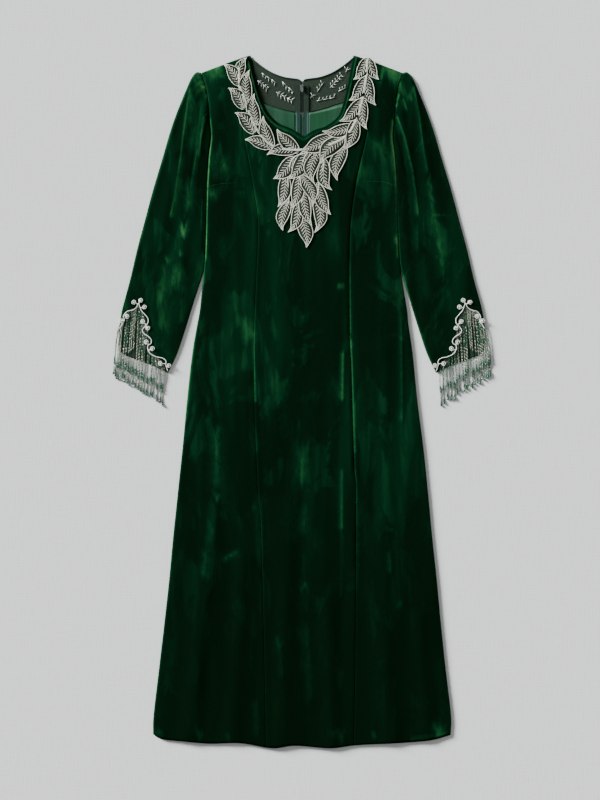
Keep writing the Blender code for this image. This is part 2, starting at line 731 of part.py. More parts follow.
def make_sleeve(side, name):
    """A flattened tube. Each station runs over the upper layer and back under the lower one."""
    across, upper, lower = sleeve_patches(side)
    outer_loops = []
    inner_loops = []
    middle = WALL + SLEEVE_GAP / 2
    for top_row, low_row in zip(upper, lower):
        width = np.linalg.norm(top_row[-1] - top_row[0])
        inset = SLEEVE_EDGE_WALL / width
        step = 1 / ARM_STEPS
        near = (inset + step) / 2
        narrowed = np.interp(
            across,
            (0, SLEEVE_EDGE, step, 1 - step, 1 - SLEEVE_EDGE, 1),
            (inset, near, step, 1 - step, 1 - near, 1 - inset),
        )
        inner_top = np.column_stack([np.interp(narrowed, across, top_row[:, i]) for i in range(2)])
        inner_low = np.column_stack([np.interp(narrowed, across, low_row[:, i]) for i in range(2)])
        ends = (inner_top + inner_low) / 2
        top_z = sleeve_top(top_row[:, 0], top_row[:, 1], side)
        inner_z = sleeve_top(inner_top[:, 0], inner_top[:, 1], side) - WALL

        def loop(top_points, z_top, low_points, z_low, first, last):
            over = np.column_stack([top_points[1:-1], z_top[1:-1]])
            back = np.column_stack([low_points[1:-1], np.full(len(low_points) - 2, z_low)])[::-1]
            start = np.append(first, middle)[None]
            end = np.append(last, middle)[None]
            return np.vstack([start, over, end, back])

        outer_loops.append(loop(top_row, top_z, low_row, 0.0, top_row[0], top_row[-1]))
        inner_loops.append(loop(inner_top, inner_z, inner_low, WALL, ends[0], ends[-1]))
    return tube(name, np.array(outer_loops), np.array(inner_loops), velvet)


def front_surface():
    """A tree of the fronts' built faces, for what lies on them."""
    points = []
    faces = []
    for name in ("front_centre", "front_side_left", "front_side_right"):
        mesh = parts.objects[name].data
        start = len(points)
        points += [vertex.co.copy() for vertex in mesh.vertices]
        faces += [[start + i for i in face.vertices] for face in mesh.polygons]
    return BVHTree.FromPolygons(points, faces)


def height_on(tree, x, y):
    """Height of the built front at x, y, or of its formula where there is none."""
    hit = tree.ray_cast(Vector((x * MM, y * MM, 1.0)), Vector((0, 0, -1)))[0]
    return hit.z / MM if hit else float(front_top(np.array(x), np.array(y)))


def leaf_body(tree, row, number):
    """A pointed leaf: rims raised over the cloth, a lower vein, a gentle bend to its tip."""
    x0, y0, x1, y1, width = row
    length = math.hypot(x1 - x0, y1 - y0)
    ux, uy = (x1 - x0) / length, (y1 - y0) / length
    turn = 1 if number % 2 else -1
    lifted = TRIM_GAP + TRIM_STEP * (number % LEAF_LEVELS)

    def place(along, off):
        bend = turn * LEAF_BEND * length * math.sin(math.pi * along)
        px = x0 + ux * along * length - uy * (off + bend)
        py = y0 + uy * along * length + ux * (off + bend)
        return px, py, height_on(tree, px, py) + lifted

    sections = []
    for along in (0.0,) + LEAF_SECTIONS + (1.0,):
        half = LEAF_TIP_HALF
        if along < 1:
            full = math.sin(math.pi * along ** LEAF_FULLEST) ** LEAF_BLUNT
            half = max(width / 2 * full, LEAF_STEM_HALF)
        left, middle, right = (place(along, off) for off in (half, 0, -half))
        rim = LEAF_RIM * (LEAF_END_RISE + (1 - LEAF_END_RISE) * math.sin(math.pi * along))
        vein = rim - LEAF_RIM + LEAF_VEIN
        sections.append([
            (left[0], left[1], left[2]),
            (left[0], left[1], left[2] + rim),
            (middle[0], middle[1], middle[2] + vein),
            (right[0], right[1], right[2] + rim),
            (right[0], right[1], right[2]),
        ])
    points, faces = capped_loft(sections)
    return mesh_object("leaf", points, faces, pale_cord)


def stem_body(tree, points, number):
    path = even_points(smooth_path(points), int(len(points) * STEM_SECTIONS_A_POINT))
    lifted = TRIM_GAP + STEM_STEP + TRIM_STEP * (number % STEM_LEVELS)
    sections = []
    for i, (x, y) in enumerate(path):
        ahead = path[min(i + 1, len(path) - 1)] - path[max(i - 1, 0)]
        ahead = ahead / np.linalg.norm(ahead)
        sides = [(x - ahead[1] * off, y + ahead[0] * off) for off in (STEM_WIDTH / 2, -STEM_WIDTH / 2)]
        low = [(px, py, height_on(tree, px, py) + lifted) for px, py in sides]
        sections.append([
            low[0], (low[0][0], low[0][1], low[0][2] + STEM_HEIGHT),
            (low[1][0], low[1][1], low[1][2] + STEM_HEIGHT), low[1],
        ])
    body, faces = capped_loft(sections)
    return mesh_object("stem", body, faces, pale_cord)


def make_applique():
    tree = front_surface()
    stems = [stem_body(tree, points, i) for i, points in enumerate(STEMS)]
    leaves = [leaf_body(tree, row, i) for i, row in enumerate(LEAVES)]
    whole = united(stems[0], stems[1:] + leaves)
    whole.name = "leaf_applique"
    keep_main_body(whole)


def spur_body(start, end, low):
    """The short end of cord that runs from the scroll into a coil."""
    run = np.array(end) - start
    nx, ny = np.array((-run[1], run[0])) / np.linalg.norm(run) * SPUR_SIZE / 2
    sections = []
    for x, y in (start, end):
        sections.append([
            (x - nx, y - ny, low), (x + nx, y + ny, low),
            (x + nx, y + ny, low + SPUR_SIZE), (x - nx, y - ny, low + SPUR_SIZE),
        ])
    points, faces = capped_loft(sections)
    return mesh_object("spur", points, faces, pale_cord)


def make_scroll(side, name):
    """The cord round the notch with its coiled ends, laid on the sleeve."""
    base = 2 * WALL + SLEEVE_GAP + SEAM_GAP
    route = smooth_points(mirrored(SCROLL, side), SCROLL_POINTS)
    curve = bpy.data.curves.new(name, "CURVE")
    curve.dimensions = "3D"
    curve.bevel_depth = SCROLL_RADIUS * MM
    curve.bevel_resolution = 1
    curve.use_fill_caps = True
    line = curve.splines.new("POLY")
    line.points.add(len(route) - 1)
    for point, (x, y) in zip(line.points, route):
        point.co = (x * MM, y * MM, (base + SCROLL_RADIUS) * MM, 1)
    made = bpy.data.objects.new(name, curve)
    curve.materials.append(pale_cord)
    parts.objects.link(made)
    made = plain_mesh(made)
    coils = []
    for x, y in mirrored(ROSETTES, side):
        near = route[np.argmin(np.linalg.norm(route - (x, y), axis=1))]
        coils.append(spur_body(near, (x, y), base + SPUR_RAISED))
        middle = base + ROSETTE_RAISED + ROSETTE_HEIGHT / 2
        bpy.ops.mesh.primitive_cone_add(vertices=ROSETTE_SIDES, radius1=ROSETTE_RADIUS * MM,
                                        radius2=ROSETTE_TOP * MM, depth=ROSETTE_HEIGHT * MM,
                                        location=Vector((x, y, middle)) * MM)
        coil = bpy.context.object
        for collection in coil.users_collection:
            collection.objects.unlink(coil)
        parts.objects.link(coil)
        coils.append(plain_mesh(coil))
    united(made, coils)


def beside_path(path, distance, side):
    """The path moved sideways, towards the inside of the notch, with its corners mitred."""
    moved = []
    for i, point in enumerate(path):
        before = path[i] - path[max(i - 1, 0)] if i else path[1] - path[0]
        after = path[i + 1] - path[i] if i + 1 < len(path) else before
        first, second = (
            side * np.array((-step[1], step[0])) / np.linalg.norm(step) for step in (before, after)
        )
        middle = (first + second) / np.linalg.norm(first + second)
        moved.append(point + middle * distance / np.dot(middle, first))
    return np.array(moved)


def make_fringe(side, name):
    """Strands that hang from a strip just below the notch, over the under layer and its hem."""
    edge = notch_points(side)
    path = edge.copy()
    for end, inward in ((0, 1), (-1, -2)):
        run = path[inward] - path[end]
        path[end] = path[end] + run / np.linalg.norm(run) * STRIP_SHORTER
    strip = []
    near_edge = beside_path(path, STRIP_GAP, side)
    far_edge = beside_path(path, STRIP_GAP + STRIP_WIDTH, side)
    for near, far in zip(near_edge, far_edge):
        strip.append([
            (*near, STRIP_BOTTOM), (*near, STRIP_BOTTOM + STRIP_HEIGHT),
            (*far, STRIP_BOTTOM + STRIP_HEIGHT), (*far, STRIP_BOTTOM),
        ])
    points, faces = capped_loft(strip)
    backing = mesh_object(name, points, faces, beads)

    hem = smooth_path(mirrored(UNDER_HEM, side))
    order = np.argsort(edge[:, 0])
    low_points = []
    low_faces = []
    half = STRAND_SIZE / 2
    for k in range(STRANDS):
        share = k / (STRANDS - 1)
        root_x = side * (STRAND_ROOTS[0] + (STRAND_ROOTS[1] - STRAND_ROOTS[0]) * share)
        corners = np.interp((root_x - half, root_x + half), edge[order, 0], edge[order, 1])
        root_y = corners.min() - STRIP_GAP
        end = mirrored([STRAND_ENDS[0]], side)[0] * (1 - share) + mirrored([STRAND_ENDS[1]], side)[0] * share
        hem_y = hem[np.abs(hem[:, 0] - root_x) < HEM_REACH, 1].min()
        over = np.clip((root_y - hem_y + STRAND_PAST_HEM) / (root_y - end[1]), *STRAND_BEND_RANGE)
        middle = np.array((root_x, root_y)) * (1 - over) + end * over
        rise = STRIP_BOTTOM + STRAND_RAISED
        sections = []
        for (x, y), low in (((root_x, root_y), rise), (tuple(middle), rise), (tuple(end), STRAND_FLOOR)):
            sections.append([
                (x - half, y, low), (x + half, y, low),
                (x + half, y, low + STRAND_SIZE), (x - half, y, low + STRAND_SIZE),
            ])
        body, faces = capped_loft(sections)
        low_faces += [tuple(len(low_points) + i for i in face) for face in faces]
        low_points += body
    strands = mesh_object("strands", low_points, low_faces, beads)
    united(backing, [strands])


for leftover in list(bpy.data.objects):
    bpy.data.objects.remove(leftover)

parts = bpy.data.collections.new("velvet_dress")
bpy.context.scene.collection.children.link(parts)

velvet = material("green_velvet", (0.005, 0.045, 0.018), 0.8)
net = material("grey_green_net", (0.05, 0.065, 0.055), 0.7)
satin = material("green_satin", (0.02, 0.12, 0.05), 0.35)
tape = material("teal_zip_tape", (0.03, 0.07, 0.075), 0.6)
metal = material("grey_zip_metal", (0.25, 0.28, 0.28), 0.35, 1.0)
pale_cord = material("pale_silver_cord", (0.55, 0.6, 0.5), 0.45)
beads = material("fringe_beads", (0.3, 0.4, 0.33), 0.25)

make_fronts()
make_back()
make_lining()
make_zip()
make_slider()
for sleeve_side, sleeve_word in ((-1, "left"), (1, "right")):
    make_sleeve(sleeve_side, "sleeve_" + sleeve_word)
    make_scroll(sleeve_side, "cuff_scroll_" + sleeve_word)
    make_fringe(sleeve_side, "cuff_fringe_" + sleeve_word)
make_applique()
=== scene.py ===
"""Looks of the long velvet dress that lies flat on a pale floor: velvet shells, satin and net inside
the neck, corded leaf applique, cuff scrolls, bead fringe, zip, floor, light and camera.

Tables are in millimetres, in the same frame as the solids. +Y runs from the hem to the neck.
"""
import math

import bmesh
import bpy
import numpy as np
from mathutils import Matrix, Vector
from mathutils.bvhtree import BVHTree


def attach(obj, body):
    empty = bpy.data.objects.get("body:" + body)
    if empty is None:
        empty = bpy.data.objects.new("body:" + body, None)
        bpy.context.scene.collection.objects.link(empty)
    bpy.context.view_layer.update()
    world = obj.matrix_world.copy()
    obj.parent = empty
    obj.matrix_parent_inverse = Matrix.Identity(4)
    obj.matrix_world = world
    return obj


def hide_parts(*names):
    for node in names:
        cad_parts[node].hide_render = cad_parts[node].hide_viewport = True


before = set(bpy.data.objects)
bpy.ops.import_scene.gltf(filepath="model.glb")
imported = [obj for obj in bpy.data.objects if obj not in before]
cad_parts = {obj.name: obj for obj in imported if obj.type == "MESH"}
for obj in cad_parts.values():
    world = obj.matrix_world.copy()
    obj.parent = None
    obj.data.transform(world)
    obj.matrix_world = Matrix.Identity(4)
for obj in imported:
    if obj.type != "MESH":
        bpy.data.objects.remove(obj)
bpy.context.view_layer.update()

MM = 0.001
BODY = "dress"
SIDES = ((-1, "left"), (1, "right"))

# Thickness of the solids' walls, and of each finished cloth
WALL = 1.8
CLOTH = 1.2
NET_CLOTH = 0.5
SATIN_CLOTH = 0.6
FACING_CLOTH = 0.5
LEAF_CLOTH = 0.35
# Heights of the layers
SEAM_GAP = 0.3
BODY_TO_SLEEVE = 0.1
UNDER_FRONT = WALL + SEAM_GAP
SKIRT_LIFT = 1.2
CHEST_LIFT = 2.5
LIFT_RANGE = (50.0, 115.0)
EDGE_ROUND = 26.0
SHOULDER_ROUND = 70.0
SLEEVE_GAP = 0.6
SLEEVE_TOP = 2 * WALL + SLEEVE_GAP
NET_Z = 1.05
LINING_Z = 2.85
BACK_LOWEST = 0.1
BACK_HIGHEST = 0.75
BACK_EDGE = 8.0

# Fineness of the cloth
SKIRT_ROWS = 210
ARM_ROWS = 60
STRAP_COLUMNS = 10
NECK_COLUMNS = 100
SIDE_COLUMNS = 104
BACK_COLUMNS = 44
SLEEVE_COLUMNS = 84
SLEEVE_ROWS = 140
YOKE_COLUMNS = 40
YOKE_NECK_COLUMNS = 28
YOKE_ROWS = 26
LINING_COLUMNS = 34
LINING_ROWS = 28
FACING_COLUMNS = 6
TRIM_STEP = 4.0

# Body side seam: height, then the left and the right edge
BODY_SIDE = (
    (-664, -298.0, 297.4), (-626, -297.0, 298.0), (-536, -286.5, 287.5), (-446, -276.0, 278.0),
    (-356, -266.0, 269.5), (-266, -257.5, 260.0), (-176, -248.0, 251.5), (-86, -238.5, 242.0),
    (4, -230.0, 230.5), (94, -220.0, 221.5), (154, -210.0, 213.0), (184, -204.5, 210.0),
    (254, -197.2, 199.0), (322, -192.6, 193.0), (427, -190.5, 190.5),
)
# Armhole from the underarm to the shoulder tip: distance from the middle, height
ARMHOLE = (
    (190.5, 427), (188.5, 457), (186.0, 493), (181.5, 530), (184.5, 568),
    (187.0, 600), (192.0, 630), (201.0, 658),
)
UNDERARM_Y = ARMHOLE[0][1]
# Hem of the front, from the left corner to the right
HEM = (
    (-298, -664), (-280, -674), (-232, -679), (-184, -683), (-124, -682), (-60, -692),
    (-14, -687), (56, -692), (110, -686), (204, -681), (258, -676), (297.4, -665.6),
)
CENTRE_HEM_Y = -687
NECK_POINT = (107, 692)
SHOULDER_TIP = (201, 658)
# Long seams of the front, from the hem to the shoulder
LEFT_LONG_SEAM = (
    (-72, -690), (-76, -476), (-82, -252), (-87, -196), (-92, -90), (-95.5, 0), (-96, 62),
    (-96, 138), (-91, 260), (-88, 322), (-89, 374), (-98, 434), (-109, 494), (-116, 528),
    (-120, 568), (-126, 608), (-130, 648), (-132, 684),
)
RIGHT_LONG_SEAM = (
    (104, -688), (107, -476), (108, -188), (105, -136), (101, -20), (98.5, 76), (95.5, 138),
    (95.5, 322), (102, 398), (112, 458), (124, 510), (130, 540), (133, 580), (134, 620),
    (134, 650), (132, 684),
)
# Front neck edge from the left neck point round the V to the right one
FRONT_NECK_LEFT = ((-107, 692), (-97, 648), (-86, 609), (-72, 577), (-49, 554), (-22, 542), (3.6, 526))
FRONT_NECK_RIGHT = ((3.6, 526), (27, 540), (50, 548), (75, 568), (86, 595), (95, 632), (107, 692))
# Back neck edge from the neck point to the zip, and the seam between net and velvet
BACK_NECK = ((107, 692), (84, 673), (60, 658), (35, 649), (8, 645), (0, 640))
YOKE_SEAM = ((0, 579), (16, 579), (42, 585), (84, 598), (130, 606))
YOKE_ARM_SHARE = 0.75
BACK_PAST_SEAM = 1.5
LINING_INNER_X = 13.3
LINING_OUTER = ((60, 505), (92, 545), (112, 596))
LINING_BOTTOM_Y = 487.0
LINING_BELOW_SEAM = 0.6

# Sleeve edges, the notch of the upper layer and the hem of the under layer
SLEEVE_OUTER = (
    (201, 658), (211, 659), (222, 646), (236, 614), (252, 574), (265, 536), (280, 484),
    (298, 424), (314, 364), (330, 304), (344, 244), (360, 184), (366, 146),
)
SLEEVE_LEAVES_BODY_Y = 262
SLEEVE_INNER = ((217, 198), (234, 143), (250, 96), (268, 58))
NOTCH_RISE = ((366, 146), (358, 168), (349, 182), (337, 187), (327, 196))
NOTCH_FALL = ((327, 196), (318, 178), (309, 154), (306, 128), (299, 100), (281, 82), (268, 58))
UNDER_HEM = ((366, 146), (367, 118), (360, 98), (336, 86), (304, 75), (268, 58))

# Soft ridges and troughs on the front: from x, y, to x, y, width, height
FRONT_FOLDS = (
    (-188, 428, -132, 437, 7, -0.8), (193, 428, 118, 440, 7, -0.8),
    (-150, 60, -176, -300, 22, 1.6), (-55, 250, -62, -120, 24, 1.2),
    (60, 300, 70, -60, 22, 1.3), (160, 120, 172, -260, 20, 1.5),
    (-190, -330, -226, -700, 20, 2.6), (-120, -300, -138, -700, 18, 2.0),
    (-30, -200, -34, -700, 24, 2.4), (52, -380, 60, -700, 18, 2.2),
    (150, -240, 178, -700, 22, 2.6), (232, -420, 252, -690, 16, 1.8),
)
# Finer creases of the front, drawn the same way
FRONT_CREASES = (
    (-170, 500, -150, 466, 8, 0.5), (-184, 430, -172, 412, 5, 0.5), (150, 524, 172, 496, 9, 0.5),
    (-112, 170, -104, 126, 6, 0.7), (84, 104, 82, 0, 3.4, 0.8), (71, 232, 84, 233, 2.2, 0.4),
    (-90, 138, -84, 10, 6, 0.6), (-102, 110, -98, 20, 5, -0.5), (-166, -52, -176, -282, 7, 0.8),
    (-190, -296, -196, -350, 5, 0.7), (-160, -316, -128, -298, 3.5, 0.5), (-80, -188, -82, -318, 8, 0.6),
    (81, -136, 80, -390, 3.4, 0.7), (107, -130, 109, -214, 4, 0.5), (175, -300, 178, -344, 4, 0.6),
    (-4, -90, 2, -160, 8, 0.5), (10, -210, 2, -270, 7, 0.5), (12, -440, 18, -600, 7, 0.6),
    (-44, -470, -40, -560, 5, 0.5), (-92, -600, -88, -672, 6, 0.6), (-220, 150, -250, -140, 7, 0.6),
    (198, 170, 202, -40, 4, 0.6), (-190, 370, -186, 300, 5, 0.5), (186, 420, 188, 300, 5, 0.5),
    (-84, -6, -36, 8, 4, 0.35), (-8, 4, 42, 18, 4, 0.35), (264, -640, 284, -660, 6, 0.8),
    (-208, -640, -198, -676, 6, 0.5), (60, -640, 66, -684, 6, 0.5), (142, -640, 148, -676, 5, 0.5),
    (218, -660, 292, -652, 2.4, 0.5), (-286, -652, -204, -668, 2.4, 0.4),
)
# Ridges of the sleeves: side, from distance to the middle, y, to the same, width, height
SLEEVE_FOLDS = (
    (-1, 215, 646, 246, 496, 9, 4.2), (-1, 206, 636, 222, 552, 8, 3.0), (-1, 194, 598, 208, 496, 9, 4.4),
    (-1, 250, 470, 292, 296, 14, 2.6), (-1, 214, 420, 250, 236, 13, 2.2), (-1, 298, 346, 314, 262, 12, 1.8),
    (1, 218, 648, 240, 546, 9, 4.2), (1, 238, 550, 256, 446, 10, 3.4), (1, 194, 588, 212, 500, 9, 4.6),
    (1, 212, 500, 228, 402, 10, 2.8), (1, 262, 440, 300, 286, 14, 2.4), (1, 226, 330, 262, 200, 13, 2.2),
)
SLEEVE_CREASES = (
    (-1, 226, 626, 242, 492, 2.6, 0.8), (-1, 242, 492, 263, 372, 3.0, 0.9), (-1, 203, 590, 224, 430, 3, -1.5),
    (-1, 210, 566, 206, 490, 3.0, 0.6), (-1, 236, 366, 241, 336, 4.5, 0.7), (-1, 243, 304, 243, 290, 3, 0.5),
    (-1, 272, 292, 268, 278, 3.5, 0.5), (-1, 240, 296, 262, 288, 3.0, -0.7), (-1, 252, 262, 262, 206, 6, 0.6),
    (-1, 230, 446, 230, 384, 5, 0.5), (-1, 201, 540, 204, 480, 2.0, 0.5),
    (1, 224, 632, 251, 462, 2.4, 0.8), (1, 191, 574, 221, 464, 2.4, 0.8), (1, 221, 464, 232, 376, 2.8, 0.9),
    (1, 186, 560, 210, 452, 3.0, -1.5), (1, 252, 442, 274, 320, 6, 0.5), (1, 230, 352, 232, 300, 4, 0.5),
    (1, 258, 374, 299, 376, 1.8, -0.5), (1, 275, 320, 284, 250, 6, 0.5),
)
# Darts of the side fronts, from the side seam inwards
DARTS = (
    ((-190, 428), (-176, 433), (-158, 436.5), (-128, 438)),
    ((192, 427), (182, 433), (170, 438), (150, 440.5), (116, 441)),
)
DART_CORD = 0.55
# Painted highlight on the dart cords
DART_HIGHLIGHT = 0.42
SLEEVE_RELIEF = 0.55
# Painted highlight on the back's creases, by their height
BACK_CREASE_HIGHLIGHT = 0.22
# Soft creases of the back, which rise from the surface that it lies on
BACK_CREASES = (
    (-60, 260, -78, -120, 14, 0.5), (70, 220, 60, -80, 14, 0.5), (-150, -60, -180, -420, 16, 0.6),
    (120, -120, 150, -520, 16, 0.6), (-40, -300, -50, -660, 14, 0.5), (60, -420, 66, -670, 12, 0.5),
    (-220, -380, -246, -660, 14, 0.6), (222, -300, 244, -640, 14, 0.6), (-140, 430, -100, 300, 10, 0.4),
    (150, 470, 110, 330, 10, 0.4), (-96, 120, -92, 20, 5, 0.4), (94, 110, 92, 10, 5, 0.4),
)

# Places where the nap is brushed up, and painted highlights on the shoulders, seams and edges: from x, y, to
# x, y, width, strength
FRONT_NAP_AND_HIGHLIGHTS = (
    (-182, 664, -162, 672, 14, 0.75), (-196, 656, -164, 660, 12, 0.45), (160, 672, 196, 660, 14, 0.95),
    (152, 660, 204, 648, 12, 0.5), (-178, 504, -148, 464, 18, 0.35), (-182, 426, -170, 416, 10, 0.5),
    (-183, 566, -180.5, 531, 2.8, 0.6), (-180.5, 531, -185, 488, 2.8, 0.75),
    (-185, 488, -188.5, 426, 2.8, 0.75), (-189, 424, -192, 285, 2.6, 0.65), (144, 524, 176, 494, 18, 0.3),
    (116, 474, 148, 448, 16, 0.25), (182.5, 564, 180, 532, 3.4, 0.8), (180, 532, 184, 496, 3.4, 0.95),
    (184, 496, 187, 460, 3.4, 0.95), (187, 460, 189, 430, 3.4, 0.85), (189, 428, 191, 290, 2.6, 0.6),
    (188, 332, 190, 316, 4, 0.6), (-105, 676, -99.5, 648, 2.6, 0.5), (-99.5, 648, -88.5, 609, 2.6, 0.5),
    (-88.5, 609, -74, 577, 2.6, 0.45), (-74, 577, -51, 552, 2.6, 0.4), (-51, 552, -24, 540, 2.6, 0.3),
    (-112, 168, -100, 124, 12, 0.55), (-54, 160, -52, 132, 8, 0.25), (71, 232, 83, 233, 4, 1.0),
    (82, 100, 81, 4, 5.2, 0.5), (64, 44, 82, 4, 12, 0.15), (-98, 140, -92, 0, 2.4, 0.45),
    (-109, 564, -89, 374, 10, 0.12), (95, 284, 97, 138, 2.4, 0.25), (98, 124, 107, -102, 2.6, 0.35),
    (-166, -52, -170, -168, 12, 0.3), (-169, -180, -168, -190, 8, 0.5), (-176, -202, -180, -284, 10, 0.15),
    (-190, -296, -194, -352, 10, 0.28), (-160, -316, -128, -298, 6, 0.3), (-94, -52, -90, -100, 10, 0.2),
    (-80, -188, -80, -316, 14, 0.2), (-2, -84, 0, -160, 12, 0.28), (8, -212, 4, -264, 12, 0.22),
    (81, -136, 80, -248, 5.2, 0.3), (80, -246, 80, -254, 5.2, 0.4), (83, -260, 83, -388, 3.2, 0.14),
    (106, -136, 108, -200, 5, 0.15), (112, -284, 118, -296, 10, 0.15), (175, -300, 177, -340, 6, 0.24),
    (194, -400, 200, -404, 6, 0.35), (4, -364, 8, -376, 7, 0.35), (12, -446, 18, -596, 12, 0.12),
    (-44, -472, -42, -488, 7, 0.25), (-42, -496, -40, -548, 6, 0.12), (-92, -602, -88, -668, 10, 0.15),
    (-292, -656, -278, -662, 6, 0.28), (-208, -652, -198, -672, 8, 0.2), (-148, -660, -146, -676, 6, 0.16),
    (56, -664, 84, -656, 12, 0.25), (142, -658, 146, -672, 6, 0.28), (264, -648, 282, -658, 12, 0.55),
    (216, -672, 296, -662, 3.2, 0.32), (198, 168, 200, -36, 4, 0.2), (-208, 204, -232, -36, 6, 0.3),
    (-220, 144, -248, -136, 6, 0.2), (-132, 394, -118, 340, 10, 0.12), (-84, -6, -40, 8, 8, 0.1),
    (-4, 4, 40, 18, 8, 0.1), (-160, 328, -152, 280, 14, 0.1), (56, 340, 72, 304, 12, 0.12),
    (-68, 60, -56, 20, 14, 0.12), (-20, -196, -12, -276, 16, 0.08), (-124, -396, -120, -436, 10, 0.1),
    (140, -16, 148, -136, 16, 0.1), (-264, -476, -268, -576, 10, 0.1), (32, -396, 40, -420, 8, 0.1),
)
# The same for the sleeves, where a negative strength is painted shade in a fold or on a flank
LEFT_SLEEVE_NAP_AND_LIGHT = (
    (-218, 652, -194, 656, 12, 0.6), (-212, 644, -194, 612, 14, 0.55), (-204, 632, -190, 628, 6, 0.8),
    (-192, 612, -186, 602, 7, 0.85), (-224, 628, -235, 552, 4.8, 0.55), (-235, 552, -242, 492, 4, 0.7),
    (-242, 492, -254, 412, 4.8, 0.55), (-254, 412, -263, 370, 4.4, 0.7), (-218, 608, -228, 504, 16, 0.3),
    (-196, 572, -207, 492, 5.2, 0.4), (-228, 444, -230, 384, 9, 0.4), (-237, 364, -240, 338, 6.8, 0.95),
    (-244, 302, -243, 292, 4, 0.55), (-272, 290, -268, 278, 6, 0.6), (-250, 268, -254, 224, 14, 0.55),
    (-274, 280, -283, 192, 10, 0.35), (-262, 204, -272, 144, 12, 0.2), (-210, 504, -218, 454, 4, 0.3),
    (-201, 544, -204, 484, 2.8, 0.35), (-200, 404, -202, 344, 3.6, 0.3), (-248, 332, -260, 280, 12, 0.2),
    (-284, 164, -292, 114, 10, 0.15), (-188, 574, -200, 520, 5, -0.4), (-200, 520, -208, 430, 6, -0.35),
    (-196, 500, -198, 300, 6, -0.2),
)
RIGHT_SLEEVE_NAP_AND_LIGHT = (
    (194, 640, 202, 612, 8, 0.6), (194, 616, 188, 588, 3.6, 0.95), (202, 606, 210, 584, 4.0, 0.8),
    (218, 610, 220, 602, 3, 0.5),
    (206, 628, 220, 612, 10, 0.35), (224, 630, 235, 572, 4, 0.55), (235, 572, 241, 518, 3.2, 0.5),
    (241, 518, 251, 460, 3.6, 0.4), (252, 442, 261, 396, 8, 0.38), (260, 396, 275, 318, 9, 0.32),
    (275, 318, 284, 252, 10, 0.22), (190, 572, 206, 528, 2.6, 0.65), (206, 528, 221, 464, 2.6, 0.65),
    (221, 464, 229, 406, 2.8, 0.6), (229, 406, 232, 374, 4.0, 0.75), (230, 352, 231, 304, 6, 0.3),
    (260, 374, 298, 375, 2, 0.25), (256, 564, 272, 524, 12, 0.15), (290, 224, 300, 184, 12, 0.15),
    (244, 284, 252, 204, 12, 0.1), (197, 536, 202, 476, 6, -0.35), (203, 476, 211, 330, 8, -0.3),
    (211, 330, 214, 280, 7, -0.2),
)

# Brushed marks, painted highlights and painted shade: the crisp core's share of the width, and the width from
# which a mark has ragged edges
LINE_CORE = 0.3
WIDE_MARK = 6.5
WIDE_MARK_SHOWS = 0.8
# How far ragged edges stray, in long and in short waves: distance, then both wavelengths
STRAY_X = (5.0, 38, 17)
STRAY_Y = (16.0, 30, 11)
# Uneven waves of each cloth: height, seed, wavelength
WAVE_COUNT = 7
FRONT_WAVES = (0.35, 3, 46)
BACK_WAVES = (0.1, 11, 60)
YOKE_WAVES = (0.22, 23, 40)
LINING_WAVES = (0.16, 31, 26)
SLEEVE_WAVES = {-1: (0.35, 39, 34), 1: (0.35, 41, 34)}
UNDER_SLEEVE_NAP = (0.1, 7, 30)
# Ridges and grooves along seams and edges: height, distance, width
SEAM_VALLEY = (-0.65, 0.0, 1.6)
SEAM_PUFF = (0.36, 6.0, 4.0)
NECK_BEAD = (0.9, 3.6, 2.6)
HEM_GROOVE = (-0.28, 13.0, 2.2)
BACK_RIDGE = (0.35, 0.0, 2.0)
LINING_RIDGE = (0.12, 3.0, 2.0)
CAP_GROOVE = (-1.1, 0.0, 2.4)
# Painted highlights along them, stronger on the left neck edge, and painted shade beside the seams: strength,
# distance, width
LEFT_NECK_HIGHLIGHT = (0.62, 2.2, 1.1)
RIGHT_NECK_HIGHLIGHT = (0.4, 2.2, 1.1)
SIDE_HIGHLIGHT = (0.2, 1.5, 1.8)
SEAM_HIGHLIGHT = (0.13, 1.6, 1.2)
SEAM_SHADE = (-0.09, -4.0, 4.0)
BACK_MIDDLE_HIGHLIGHT = (0.1, 2.0, 1.5)
FACING_HIGHLIGHT = (0.12, 3.6, 1.1)
SLEEVE_SIDE_HIGHLIGHT = (0.3, 2.0, 2.5)
# Turned edges: how far they turn down, as a share, and the radius of the roll
SIDE_ROLL = (1.0, 3.0)
NECK_ROLL = (0.8, 2.4)
ARM_ROLL = (1.0, 1.4)
HEM_ROLL = (0.5, 1.0)
SHOULDER_ROLL = (0.8, 1.0)
LINING_ROLL = (0.5, 1.6)
# Heights over which the side edge's roll turns into the armhole's, and the long seams get sharp
ROLL_CHANGES = (UNDERARM_Y - 12, UNDERARM_Y + 12)
SEAM_FADES = (-420.0, -180.0)
# How sharp the long seams are near the hem, in height and in their painted highlight and shade
SEAM_LEAST = 0.3
SEAM_LIGHT_LEAST = 0.05
# Puckers where the eased cap is sewn into the armhole, with a painted highlight on their crests
PUCKER_STEP = 12.0
PUCKER_HEIGHT = 0.8
PUCKER_REACH = 14.0
PUCKER_HIGHLIGHT = 0.2
PUCKER_HIGHLIGHT_REACH = 9.0
# Heights over which the puckers come in, and distances from the cuff over which the folds do
CAP_FROM = (520.0, 580.0)
CUFF_CALM = (8.0, 38.0)
# How far in the side edges of the sleeve's two layers are rounded
SLEEVE_EDGE_ROUND = 7.0
UNDER_EDGE_ROUND = 3.0
# Neck facing: its band from under the front to inside the opening, where it sinks, its least height
NECK_FACING = (-5.0, 4.4)
FACING_SINKS = (-1.0, 4.0)
FACING_LOWEST = 2.0

